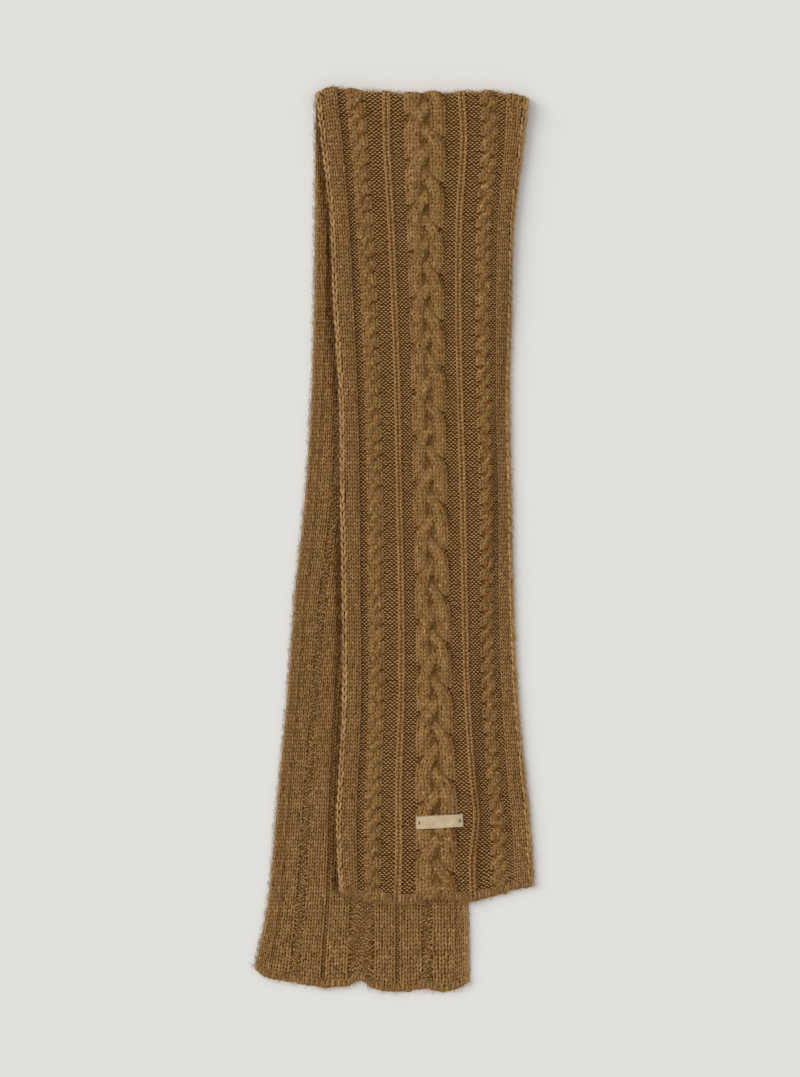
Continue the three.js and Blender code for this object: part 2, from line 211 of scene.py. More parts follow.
# How far the fold (at an x) and the hems (at a wale) wander from a straight line: place and rise
FOLD_WAVE = (
    (-81, -3),
    (-66, 3),
    (-55, 4),
    (-40, 2),
    (-6, 0.5),
    (29, -3),
    (45, -1.5),
    (113, -0.5),
    (124, -3),
    (145, -8),
)
FRONT_HEM_WAVE = (
    (0, 7.5),
    (4, 0.5),
    (9, -1.5),
    (19, -4.5),
    (25, 0.5),
    (34, -2.5),
    (37, -1),
    (42, 4.5),
    (46, 9.5),
    (51, 13),
)
BACK_HEM_WAVE = (
    (0, 15),
    (2, 8.5),
    (5, 3),
    (9, 0.5),
    (16, -5),
    (20, -4.5),
    (25.5, 2),
    (30, -7),
    (35, -9.5),
    (42, -6.5),
    (46, -9.5),
    (51, -1),
)


def smooth_table(knots: Array, values: Array, at: Array) -> Array:
    """Runs a cubic through a table: at each knot its slope is the mean of the two chords beside it.

    Args:
        knots: the table's places, rising.
        values: one value, or one row of values, at each knot.
        at: where the curve is read; past the ends it keeps the end values.

    Returns:
        The values at each place, with the shape of at, and a last axis for rows of values.
    """
    values = np.asarray(values, float).reshape(len(knots), -1)
    chords = np.diff(values, axis=0) / np.diff(knots)[:, None]
    slopes = np.vstack([chords[:1], (chords[1:] + chords[:-1]) / 2, chords[-1:]])
    place = np.clip(at, knots[0], knots[-1])
    low = np.clip(np.searchsorted(knots, place, side="right") - 1, 0, len(knots) - 2)
    step = (knots[low + 1] - knots[low])[..., None]
    part = ((place - knots[low])[..., None]) / step
    square, cube = part**2, part**3
    return (
        (2 * cube - 3 * square + 1) * values[low]
        + (cube - 2 * square + part) * step * slopes[low]
        + (3 * square - 2 * cube) * values[low + 1]
        + (cube - square) * step * slopes[low + 1]
    )


def wave(table: tuple[tuple[float, float], ...], at: Array) -> Array:
    """Reads how much an edge rises at each place, from one of the wave tables."""
    rows = np.array(table, float)
    return smooth_table(rows[:, 0], rows[:, 1], at)[..., 0]


def ease(value: Array, low: float | Array, high: float | Array) -> Array:
    """Goes smoothly from 0 at low to 1 at high: 3t^2 - 2t^3."""
    part = np.clip((value - low) / (high - low), 0, 1)
    return part * part * (3 - 2 * part)


def cloth_width(wale: Array, side: Side) -> Array:
    """Returns the cloth's width from the left edge to a wale, with each band's own stitch width."""
    widths = [b.right_width if side is Side.RIGHT else b.wrong_width for b in CHART]
    total = np.zeros_like(np.asarray(wale, float))
    for band, width in zip(CHART, widths):
        total = total + np.clip(wale - band.start, 0, band.stitches) * width
    return total + np.minimum(wale, 0) * widths[0] + np.maximum(wale - WALES, 0) * widths[-1]


def band_laid_width(side: Side) -> float:
    """Returns the whole cloth's width from its chart."""
    return float(cloth_width(np.array(float(WALES)), side))


def arc_wave(sine: Array) -> Array:
    """Flattens a sine's tops and steepens its middle: s (3 - s^2) / 2."""
    return sine * (3 - sine**2) / 2


def unit(vectors: Array) -> Array:
    """Scales vectors to length 1."""
    return vectors / np.maximum(np.linalg.norm(vectors, axis=-1, keepdims=True), 1e-9)


@dataclass(frozen=True)
class Face:
    """The upward face of a tail: maps wale, row and height to a place on the table.

    A row below 0 goes round the fold. Past an edge's last stitch the face turns down round the rim.
    """

    lines: Array
    side: Side
    rows: int
    hem_wave: tuple[tuple[float, float], ...]

    def x_at(self, wale: Array, y: Array) -> Array:
        """Places a wale between the anchors' lines, in proportion to the cloth's width there."""
        xs = smooth_table(-self.lines[:, 0], self.lines[:, 1:], -y)
        anchor_widths = cloth_width(ANCHORS.astype(float), self.side)
        width = cloth_width(wale, self.side)
        after = np.clip(np.searchsorted(anchor_widths, width), 1, len(ANCHORS) - 1)
        share = (width - anchor_widths[after - 1]) / (anchor_widths[after] - anchor_widths[after - 1])
        low = np.take_along_axis(xs, (after - 1)[..., None], -1)[..., 0]
        high = np.take_along_axis(xs, after[..., None], -1)[..., 0]
        return low + (high - low) * share

    def y_at(self, wale: Array, row: Array) -> Array:
        """Rows are level, but for the waves of the fold and the hem near them."""
        level = FOLD_Y - FOLD_SEAM - row * ROW
        near_fold = 1 - ease(row, 0, WAVE_REACH)
        near_hem = ease(row, self.rows - WAVE_REACH, self.rows)
        fold_x = self.x_at(wale, np.full_like(level, FOLD_Y))
        return level + near_fold * wave(FOLD_WAVE, fold_x) + near_hem * wave(self.hem_wave, wale)

    def under(self, wale: Array, row: Array) -> Array:
        """The height of the cloth's underside: the back tail lies on the table."""
        return np.zeros_like(wale + row)

    def inner_side(self, wale: Array, row: Array) -> Array:
        """Returns places on the cloth's inner side, one under each place of the face."""
        points = self.ground(wale, row)
        points[..., 2] = self.under(wale, np.maximum(row, 0)) + 0.05
        return points

    def wall(self, row: Array) -> Array:
        """The ground's thickness, which rounds down at the hem."""
        inside = np.clip((self.rows + 0.2 - row) * ROW / 3.0, 0, 1)
        return WALL * (0.45 + 0.55 * np.sqrt(1 - (1 - inside) ** 2))

    def pressed(self, x: Array, y: Array) -> Array:
        """How far the upper face is pressed down at a place."""
        return np.zeros_like(x + y)

    def ground(self, wale: Array, row: Array) -> Array:
        """Returns the points of the ground's upper face, turned down round the rims.

        Within a rim's radius r of an edge the face follows a half circle: x = edge + r - r sin(a)
        and z = middle + r cos(a), where a is (r - distance) / r.
        """
        wale, row = np.broadcast_arrays(np.asarray(wale, float), np.asarray(row, float))
        inner = np.clip(wale, 0, WALES)
        low_row = np.maximum(row, 0)
        y = self.y_at(inner, low_row)
        x = self.x_at(inner, y)
        floor = self.under(inner, low_row)
        wall = self.wall(low_row)
        radius = wall / 2
        left = cloth_width(wale, self.side)
        right = band_laid_width(self.side) - left
        on_left = left < right
        near = np.where(on_left, left, right)
        angle = np.clip((radius - near) / radius, 0, 2.5)
        edge = self.x_at(np.where(on_left, 0.0, float(WALES)), y)
        outward = np.where(on_left, -1.0, 1.0)
        rim_x = edge + outward * radius * (np.sin(angle) - 1)
        x = np.where(angle > 0, rim_x, x)
        z = floor + radius + radius * np.cos(angle) - self.pressed(x, y)
        return self.round_fold(np.stack([x, y, z], -1), row)

    def round_fold(self, points: Array, row: Array) -> Array:
        """Takes rows below 0 round the bend, half a circle in the y and z plane."""
        height = BACK_TOP + 2 * BEND_GAP + WALL
        turn = np.clip(-row / FOLD_ROWS, 0, 1) * np.pi
        rim_drop = height - np.minimum(points[..., 2], height)
        radius = height / 2 - rim_drop
        bent = points.copy()
        fold_y = FOLD_Y + wave(FOLD_WAVE, points[..., 0])
        bent[..., 1] = fold_y + np.sin(turn) * radius
        bent[..., 2] = height / 2 + np.cos(turn) * radius
        return np.where((row < 0)[..., None], bent, points)

    def outward(self, wale: Array, row: Array) -> Array:
        """Returns the face's outward normal: across the wales times along the rows, turned up."""
        step = 0.06
        across = self.ground(wale + step, row) - self.ground(wale - step, row)
        along = self.ground(wale, row + step) - self.ground(wale, row - step)
        return unit(np.cross(along, across))

    def place(self, wale: Array, row: Array, height: Array) -> Array:
        """Returns the points at a height over the ground, along its normal."""
        return self.ground(wale, row) + self.outward(wale, row) * np.asarray(height)[..., None]


FRONT_PLAN = Face(FRONT_LINES, Side.RIGHT, FRONT_ROWS, FRONT_HEM_WAVE)


@dataclass(frozen=True)
class BackFace(Face):
    """The back tail gives way a little beside the front tail's left edge, which lies on it."""

    dip: float = 2.0
    dip_reach: float = 13.0

    def pressed(self, x: Array, y: Array) -> Array:
        """The cloth sinks by a smooth step towards the front tail's edge, and not past its hem."""
        edge = FRONT_PLAN.x_at(np.zeros_like(y), y)
        hem = FOLD_Y - FRONT_ROWS * ROW
        beside = ease(x, edge - self.dip_reach, edge - 2.0)
        return self.dip * beside * ease(y, hem - 4.0, hem + 10.0)


BACK = BackFace(BACK_LINES, Side.WRONG, BACK_ROWS, BACK_HEM_WAVE)


@dataclass(frozen=True)
class FrontFace(Face):
    """The front tail lies on the back tail and drops to the table past its right edge."""

    def under(self, wale: Array, row: Array) -> Array:
        """The underside rises to the bend, and falls by a smooth step where nothing is below."""
        y = self.y_at(wale, row)
        back_edge = BACK.x_at(np.full_like(y, float(WALES)), y)
        past = self.x_at(wale, y) - back_edge
        on_back = 1 - ease(past, DRAPE_START, DRAPE_START + DRAPE_WIDTH)
        near_bend = 1 - ease(row * ROW, 0, BEND_REACH)
        lying = FRONT_UNDER * on_back
        return lying + (BACK_TOP + 2 * BEND_GAP - lying) * near_bend

    def inner_side(self, wale: Array, row: Array) -> Array:
        """Returns places on the cloth's inner side; in the bend it is the narrow slit's wall."""
        points = super().inner_side(wale, row)
        turn = np.clip(-row / FOLD_ROWS, 0, 1) * np.pi
        bent = points.copy()
        bent[..., 1] = FOLD_Y + wave(FOLD_WAVE, points[..., 0]) + np.sin(turn) * BEND_GAP
        bent[..., 2] = BACK_TOP + BEND_GAP + np.cos(turn) * BEND_GAP
        return np.where((row < 0)[..., None], bent, points)


FRONT = FrontFace(FRONT_LINES, Side.RIGHT, FRONT_ROWS, FRONT_HEM_WAVE)


def row_frame_shift() -> Array:
    """Returns what takes the layout's places into the row frame, from where the label lies."""
    low, high = np.array(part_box("label")) / MM
    middle = (low + high) / 2
    return np.array([middle[0] - Label.x, middle[1] - Label.y, 0.0])


# Colours and materials: the nodes that they share

NOISE = "ShaderNodeTexNoise"
MATH = "ShaderNodeMath"
RAMP = "ShaderNodeValToRGB"
BUMP = "ShaderNodeBump"
UV_MAP = "ShaderNodeUVMap"
MULTIPLY_ADD = {"operation": "MULTIPLY_ADD"}
CLAMPED_ADD = {"operation": "MULTIPLY_ADD", "use_clamp": True}


def linear(hex_colour: str) -> tuple[float, float, float, float]:
    """Turns an sRGB hex value to linear light.

    Args:
        hex_colour: such as "#7b5930".

    Returns:
        Red, green, blue and alpha.
    """
    channels = [int(hex_colour[i : i + 2], 16) / 255 for i in (1, 3, 5)]
    lit = [c / 12.92 if c <= 0.04045 else ((c + 0.055) / 1.055) ** 2.4 for c in channels]
    return (lit[0], lit[1], lit[2], 1.0)


def set_inputs(tree: bpy.types.NodeTree, node: bpy.types.Node, **links) -> None:
    """Puts values on a node's inputs and links output sockets to them.

    Args:
        tree: the material's node tree.
        node: the node.
        **links: an input's name, with spaces as underscores, or in_N for its place.
    """
    for name, value in links.items():
        socket = node.inputs[int(name[3:]) if name.startswith("in_") else name.replace("_", " ")]
        if isinstance(value, bpy.types.NodeSocket):
            tree.links.new(value, socket)
        else:
            socket.default_value = value


def add_node(tree: bpy.types.NodeTree, kind: str, settings: dict | None = None, **links) -> bpy.types.Node:
    """Adds one node, with its settings and its inputs.

    Args:
        tree: the material's node tree.
        kind: the node's type name.
        settings: attributes of the node itself.
        **links: its inputs, as set_inputs() takes them.

    Returns:
        The new node.
    """
    node = tree.nodes.new(kind)
    for name, value in (settings or {}).items():
        setattr(node, name, value)
    set_inputs(tree, node, **links)
    return node


def set_stops(ramp: bpy.types.Node, *stops: tuple[float, str]) -> None:
    """Gives a colour ramp its stops.

    Args:
        ramp: the ramp's node, which starts with two stops.
        *stops: for each stop its place from 0 to 1 and its sRGB hex value.
    """
    elements = ramp.color_ramp.elements
    for nth, (position, colour) in enumerate(stops):
        element = elements[nth] if nth < 2 else elements.new(position)
        element.position = position
        element.color = linear(colour)


def new_material(name: str) -> tuple[bpy.types.Material, bpy.types.NodeTree, bpy.types.Node]:
    """Starts a material with one Principled shader and returns it with its tree and shader."""
    material = bpy.data.materials.new(name)
    material.use_nodes = True
    tree = material.node_tree
    return material, tree, tree.nodes["Principled BSDF"]


@dataclass(frozen=True)
class BrushedYarn:
    """Brushed alpaca and wool yarn: dyed in the fleece, spun, knitted and teased to a soft nap.

    The eye sees it as matt, with a pale bloom at grazing angles, and slightly mottled.
    """

    name: str
    light: str
    dark: str
    pale: str = "#bd9663"
    bloom: str = "#d9b98a"
    fibre_length: float = 7.0
    fibre_width: float = 0.7  # real fibres are 0.03 mm; drawn coarser, so that they show
    fibre_share: float = 0.6
    speck: float = 1.4  # painted highlights: paler and darker specks where tufts of the nap catch the light, drawn coarser too
    speck_share: float = 0.5
    mottle: float = 12.0
    mottle_share: float = 0.15

    def material(self) -> bpy.types.Material:
        """Builds the material: tone per stitch, mottle, specks of painted highlight, and fibres along the
        yarn.
        """
        material, tree, shader = new_material(self.name)
        tone = add_node(tree, "ShaderNodeAttribute", {"attribute_name": "tone"})
        place = add_node(tree, "ShaderNodeTexCoord").outputs["Object"]
        mottle = add_node(tree, NOISE, Vector=place, Scale=1 / (self.mottle * MM), Detail=2.0)
        specks = add_node(tree, NOISE, Vector=place, Scale=1 / (self.speck * MM), Detail=1.0)
        uv = add_node(tree, UV_MAP, {"uv_map": "along_yarn"})
        scale = (1 / self.fibre_width, 1 / self.fibre_length, 1.0)
        stretch = add_node(tree, "ShaderNodeMapping", Vector=uv.outputs["UV"], Scale=scale)
        fibres = add_node(tree, NOISE, Vector=stretch.outputs["Vector"], Scale=1.0, Detail=3.0)
        centred = add_node(tree, MATH, {"operation": "SUBTRACT"}, in_0=specks.outputs["Fac"], in_1=0.5)
        shade = tone.outputs["Fac"]
        for added, share, settings in (
            (fibres.outputs["Fac"], self.fibre_share, MULTIPLY_ADD),
            (centred.outputs[0], self.speck_share, MULTIPLY_ADD),
            (mottle.outputs["Fac"], self.mottle_share, CLAMPED_ADD),
        ):
            shade = add_node(tree, MATH, settings, in_0=added, in_1=share, in_2=shade).outputs[0]
        ramp = add_node(tree, RAMP, Fac=shade)
        set_stops(ramp, (0.14, self.dark), (0.78, self.light), (1.0, self.pale))
        bump = add_node(tree, BUMP, Height=fibres.outputs["Fac"], Strength=0.5, Distance=0.35 * MM)
        set_inputs(
            tree,
            shader,
            Base_Color=ramp.outputs["Color"],
            Normal=bump.outputs["Normal"],
            Roughness=0.92,
            Specular_IOR_Level=0.15,
            Sheen_Weight=0.18,
            Sheen_Roughness=0.5,
            Sheen_Tint=linear(self.bloom),
        )
        return material


@dataclass(frozen=True)
class KnitGround:
    """Painted shade: a dark sheet for the shaded depth of the knit behind its outer stitches, and the
    cloth's plain underside.

    The eye sees dark holes between the stitches, and underneath faint ribs of knit legs, painted lighter
    on their crests and darker between them. Under the cables, where the nap fills the cloth, it is paler.
    """

    name: str
    light: str
    dark: str
    brushed: str
    leg_slant: float = 1.6
    leg_height: float = 1.2
    tone_share: float = 0.75

    def material(self) -> bpy.types.Material:
        """Builds the material: knit legs painted by wale and row, lighter on their crests, from the
        ground's own UV map.
        """
        material, tree, shader = new_material(self.name)
        uv = add_node(tree, UV_MAP, {"uv_map": "wale_row"})
        parts = add_node(tree, "ShaderNodeSeparateXYZ", Vector=uv.outputs["UV"])
        wale, row = parts.outputs[0], parts.outputs[1]
        zigzag = {"operation": "PINGPONG"}
        leg = add_node(tree, MATH, zigzag, in_0=wale, in_1=0.5).outputs[0]
        slant = add_node(tree, MATH, MULTIPLY_ADD, in_0=leg, in_1=self.leg_slant, in_2=row).outputs[0]
        crest = add_node(tree, MATH, zigzag, in_0=slant, in_1=0.5).outputs[0]
        place = add_node(tree, "ShaderNodeTexCoord").outputs["Object"]
        nap = add_node(tree, NOISE, Vector=place, Scale=1 / (2 * MM), Detail=3.0).outputs["Fac"]
        height = add_node(tree, MATH, MULTIPLY_ADD, in_0=crest, in_1=self.leg_height, in_2=nap).outputs[0]
        tone = add_node(tree, "ShaderNodeAttribute", {"attribute_name": "tone"}).outputs["Fac"]
        lit = add_node(tree, MATH, MULTIPLY_ADD, in_0=tone, in_1=self.tone_share, in_2=height).outputs[0]
        half = add_node(tree, MATH, {"operation": "MULTIPLY", "use_clamp": True}, in_0=lit, in_1=0.5)
        ramp = add_node(tree, RAMP, Fac=half.outputs[0])
        set_stops(ramp, (0.175, self.dark), (0.5, self.light), (0.9, self.brushed))
        bump = add_node(tree, BUMP, Height=height, Strength=0.6, Distance=0.8 * MM)
        set_inputs(
            tree,
            shader,
            Base_Color=ramp.outputs["Color"],
            Normal=bump.outputs["Normal"],
            Roughness=0.97,
            Specular_IOR_Level=0.05,
        )
        return material


@dataclass(frozen=True)
class WovenTape:
    """Polyester label tape, woven in a fine satin: pale, smooth and faintly lustrous."""

    name: str
    light: str
    dark: str
    thread: float = 0.9  # real threads are 0.15 mm; drawn coarser, so that they show
    weave_share: float = 0.3

    def material(self) -> bpy.types.Material:
        """Builds the material: fine crossing threads, a little soiled in places."""
        material, tree, shader = new_material(self.name)
        uv = add_node(tree, UV_MAP, {"uv_map": "tape"}).outputs["UV"]
        weft, warp = (
            add_node(
                tree,
                "ShaderNodeTexWave",
                {"wave_type": "BANDS", "bands_direction": axis},
                Vector=uv,
                Scale=0.5 / self.thread,
                Distortion=0.6,
            ).outputs["Fac"]
            for axis in ("X", "Y")
        )
        cross = add_node(tree, MATH, {"operation": "MULTIPLY"}, in_0=weft, in_1=warp).outputs[0]
        soil = add_node(tree, NOISE, Vector=uv, Scale=0.12, Detail=3.0).outputs["Fac"]
        worn = add_node(tree, MATH, CLAMPED_ADD, in_0=cross, in_1=self.weave_share, in_2=soil)
        ramp = add_node(tree, RAMP, Fac=worn.outputs[0])
        set_stops(ramp, (0.25, self.dark), (0.75, self.light))
        bump = add_node(tree, BUMP, Height=cross, Strength=0.4, Distance=0.15 * MM)
        set_inputs(
            tree,
            shader,
            Base_Color=ramp.outputs["Color"],
            Normal=bump.outputs["Normal"],
            Roughness=0.6,
            Sheen_Weight=0.15,
        )
        return material


@dataclass(frozen=True)
class SewingThread:
    """Twisted polyester sewing thread: dark, with a fine diagonal twist."""

    name: str
    light: str
    dark: str

    def material(self) -> bpy.types.Material:
        """Builds the material: slanting bands along the thread."""
        material, tree, shader = new_material(self.name)
        uv = add_node(tree, UV_MAP, {"uv_map": "along_yarn"})
        bands = {"wave_type": "BANDS", "bands_direction": "DIAGONAL"}
        twist = add_node(tree, "ShaderNodeTexWave", bands, Vector=uv.outputs["UV"], Scale=0.8)
        ramp = add_node(tree, RAMP, Fac=twist.outputs["Fac"])
        set_stops(ramp, (0.0, self.dark), (1.0, self.light))
        set_inputs(tree, shader, Base_Color=ramp.outputs["Color"], Roughness=0.7)
        return material


@dataclass(frozen=True)
class StudioPaper:
    """Matt pale backdrop paper: even, with no gloss."""

    name: str
    colour: str

    def material(self) -> bpy.types.Material:
        """Builds the material: one pale colour with the faintest grain."""
        material, tree, shader = new_material(self.name)
        place = add_node(tree, "ShaderNodeTexCoord").outputs["Object"]
        grain = add_node(tree, NOISE, Vector=place, Scale=1 / (3 * MM), Detail=2.0)
        bump = add_node(tree, BUMP, Height=grain.outputs["Fac"], Strength=0.03, Distance=0.1 * MM)
        set_inputs(
            tree,
            shader,
            Base_Color=linear(self.colour),
            Normal=bump.outputs["Normal"],
            Roughness=0.95,
            Specular_IOR_Level=0.1,
        )
        return material


# Meshes


@dataclass
class Skin:
    """Points and faces of a piece, gathered as whole arrays."""

    points: list[Array] = field(default_factory=list)
    faces: list[Array] = field(default_factory=list)
    uvs: list[Array] = field(default_factory=list)
    tones: list[Array] = field(default_factory=list)
    count: int = 0

    def add(self, points: Array, faces: list[Array], uvs: Array, tones: Array) -> None:
        """Adds points with one UV pair and one tone each, and faces that index them.

        Args:
            points: (n, 3) places in millimetres.
            faces: arrays of (m, corners) indices into points.
            uvs: (n, 2) texture places.
            tones: (n,) shades from 0 to 1.
        """
        self.points.append(points)
        self.faces.extend(face + self.count for face in faces)
        self.uvs.append(uvs)
        self.tones.append(tones)
        self.count += len(points)


def put_mesh(name: str, skin: Skin, uv_name: str, material: bpy.types.Material) -> bpy.types.Object:
    """Makes an object at the origin from a skin, in metres in the row frame.

    Args:
        name: the piece's name.
        skin: its points and faces, in the layout's millimetres.
        uv_name: the name of its UV map.
        material: its material.

    Returns:
        The new object, linked to the scene.
    """
    points = (np.concatenate(skin.points) + row_frame_shift()) * MM
    corners = np.concatenate([face.ravel() for face in skin.faces])
    sizes = np.concatenate([np.full(len(face), face.shape[1]) for face in skin.faces])
    starts = np.concatenate([[0], np.cumsum(sizes)[:-1]])
    mesh = bpy.data.meshes.new(name)
    mesh.vertices.add(len(points))
    mesh.vertices.foreach_set("co", points.ravel())
    mesh.loops.add(len(corners))
    mesh.loops.foreach_set("vertex_index", corners)
    mesh.polygons.add(len(sizes))
    mesh.polygons.foreach_set("loop_start", starts)
    mesh.polygons.foreach_set("use_smooth", np.ones(len(sizes), bool))
    layer = mesh.uv_layers.new(name=uv_name)
    layer.uv.foreach_set("vector", np.concatenate(skin.uvs)[corners].astype(np.float32).ravel())
    tone = mesh.attributes.new("tone", "FLOAT", "POINT")
    tone.data.foreach_set("value", np.concatenate(skin.tones).astype(np.float32))
    mesh.update(calc_edges=True)
    mesh.validate()
    mesh.materials.append(material)
    piece = bpy.data.objects.new(name, mesh)
    bpy.context.scene.collection.objects.link(piece)
    return piece


def tubes(
    paths: Array, ups: Array, wide: Array, high: Array, tones: Array, sides: int = 5
) -> tuple[Array, list[Array], Array, Array]:
    """Carries a small oval round each of many paths, and closes both ends.

    Args:
        paths: (n, k, 3) points along each path.
        ups: (n, k, 3) directions that the ovals' short axes point to.
        wide: (n, k) half widths across the path.
        high: (n, k) half heights.
        tones: (n,) shade of each tube.
        sides: corners of each oval.

    Returns:
        Points, faces, UV places in millimetres and tones, as Skin.add takes them.
    """
    many, rings, _ = paths.shape
    along = unit(np.gradient(paths, axis=1))
    across = unit(np.cross(along, ups))
    up = np.cross(across, along)
    turns = np.arange(sides) / sides * 2 * np.pi
    oval = (
        np.cos(turns)[:, None] * (across * wide[..., None])[:, :, None, :]
        + np.sin(turns)[:, None] * (up * high[..., None])[:, :, None, :]
    )
    points = paths[:, :, None, :] + oval
    index = np.arange(many * rings * sides).reshape(many, rings, sides)
    turned = np.roll(index, -1, axis=2)
    quads = np.stack([index[:, :-1], index[:, 1:], turned[:, 1:], turned[:, :-1]], -1).reshape(-1, 4)
    start = index[:, 0, :]
    end = index[:, -1, ::-1]
    steps = np.linalg.norm(np.diff(paths, axis=1), axis=-1)
    length = np.concatenate([np.zeros((many, 1)), np.cumsum(steps, axis=1)], axis=1)
    round_mm = np.broadcast_to(turns * 0.9, (many, rings, sides))
    offset = (np.arange(many) * 3.7)[:, None, None]
    along_mm = np.broadcast_to(length[:, :, None] + offset, (many, rings, sides))
    uvs = np.stack([round_mm + offset * 0.31, along_mm], -1).reshape(-1, 2)
    shade = np.repeat(tones, rings * sides)
    return points.reshape(-1, 3), [quads, start, end], uvs, shade


# Stitches


@dataclass(frozen=True)
class Strand:
    """Where a cable's strand lies: maps a place in the strand to a wale and a height."""

    band: Band
    crest: float
    slant: float = 1.0  # how much of a V the two legs make; 0 is upright
    strands: int = 1
    spread: float = 1.0  # how much wider the stitches lie than the chart's
    splay: float = 1.0  # how far a stitch's legs lean apart, as a share of a plain stitch's
    plump: float = 0.25  # half the width of a leg, as a share of its stitch's width
    unevenness: float = 0.04  # how far a leg strays from its place, in stitches
    closed: float = 0.0  # how far brushing has closed a stitch's gaps, from 0 to 1

    @property
    def stitches(self) -> int:
        """How many stitches lie side by side in one strand."""
        return self.band.stitches // self.strands

    @property
    def inward(self) -> float:
        """Which way the wales run from a band's outer edge, for the two edge bands."""
        return 1.0 if self.band.start == 0 else -1.0

    @property
    def beading(self) -> float:
        """How deep the legs dive at their ends, as a share of a plain stitch's."""
        return 1.2 * self.slant**2

    def smooth(self, across: Array) -> Array:
        """How far brushing and curling have closed a stitch's gaps, from 0 to 1."""
        return np.full_like(across, self.closed)

    def shade(self, strand: Array, across: Array, row: Array) -> Array:
        """What the brush adds in tone on the crests."""
        return 0.22 * self.smooth(across)

    def painted_crease_shade(self, across: Array) -> Array:
        """Painted shade: what a cable strand's side loses in tone, standing for the shade in the crease
        beside it.
        """
        return -0.38 * np.minimum(np.abs(across / (0.41 * self.stitches)) ** 3.5, 1.3)

    def lay(self, strand: Array, across: Array, row: Array) -> tuple[Array, Array]:
        """A plain band: rounded, h = crest * sqrt(1 - u^4) at u from -1 to 1 across it."""
        share = np.clip(np.abs(across) / (self.band.stitches / 2), 0, 1)
        return self.band.middle + across * self.spread, self.crest * np.sqrt(1 - share**4)

    def shown(self, strand: Array, row: Array) -> Array:
        """True where a strand is not under another."""
        return np.ones_like(row, bool)


@dataclass(frozen=True)
class EdgeRoll(Strand):
    """An edge band: it curls into a soft roll, and on the wrong side its inner line stands up."""

    ridge: float = 0.0
    ridge_place: float = 3.3  # stitches from the rim
    ridge_width: float = 0.4
    welt_width: float = 1.1

    def from_rim(self, across: Array) -> Array:
        """Returns how many stitches a place lies from the cloth's rim."""
        return self.band.stitches / 2 + across * self.inward

    def smooth(self, across: Array) -> Array:
        """The outermost stitch curls over, so that its legs show side on, as a smooth welt."""
        return np.where(self.from_rim(across) < self.welt_width, 0.8, 0.1)

    def lay(self, strand: Array, across: Array, row: Array) -> tuple[Array, Array]:
        """A half-round roll, h = crest * sqrt(1 - u^2), and a narrow bell-shaped ridge on it."""
        share = np.clip(np.abs(across) / (self.band.stitches / 2 + 0.35), 0, 1)
        bell = np.exp(-(((self.from_rim(across) - self.ridge_place) / self.ridge_width) ** 2))
        height = self.crest * np.sqrt(1 - share**2) + self.ridge * bell
        return self.band.middle + across, height


@dataclass(frozen=True)
class RibStrand(Strand):
    """A narrow rib: two columns drawn close to each other, upright, beaded and brushed pale."""

    spread: float = 0.96
    splay: float = 0.45
    plump: float = 0.19
    pale: float = 0.2

    @property
    def beading(self) -> float:
        """Each leg stands out as a bead of its own."""
        return 1.6

    def shade(self, strand: Array, across: Array, row: Array) -> Array:
        """The whole rib is paler."""
        return np.full_like(across, self.pale)


@dataclass(frozen=True)
class RopeStrand(Strand):
    """A rope cable: two strands wound round each other, both turning the same way."""

    strands: int = 2
    spread: float = 1.4  # each strand fills more than half of the band
    plump: float = 0.32
    unevenness: float = 0.055
    closed: float = 0.55
    phase: float = 0.0

    def angle(self, strand: Array, row: Array) -> Array:
        """The strand's turn: half a turn for every crossing."""
        return np.pi * ((row - self.phase) / ROPE_TURN + strand)

    def lay(self, strand: Array, across: Array, row: Array) -> tuple[Array, Array]:
        """x = -0.8 arc(sin(a)), h = crest (0.6 + 0.4 cos(a)), less the strand's own rounding."""
        angle = self.angle(strand, row)
        wale = self.band.middle - 0.8 * arc_wave(np.sin(angle)) + across * self.spread
        round_off = 2.6 * np.abs(across) ** 2.6
        return wale, self.crest * (0.6 + 0.4 * np.cos(angle)) - round_off

    def shade(self, strand: Array, across: Array, row: Array) -> Array:
        """Painted shade: only the side that faces the other strand is darkened, as the crease there; all
        the rope's yarn is a little darker too.
        """
        facing = np.sin(self.angle(strand, row)) * np.sign(across)
        return self.painted_crease_shade(across) * np.clip(0.5 + 1.2 * facing, 0, 1) - 0.06

    def shown(self, strand: Array, row: Array) -> Array:
        """True but for the lowest part of the strand's turn."""
        return np.cos(self.angle(strand, row)) > -0.8


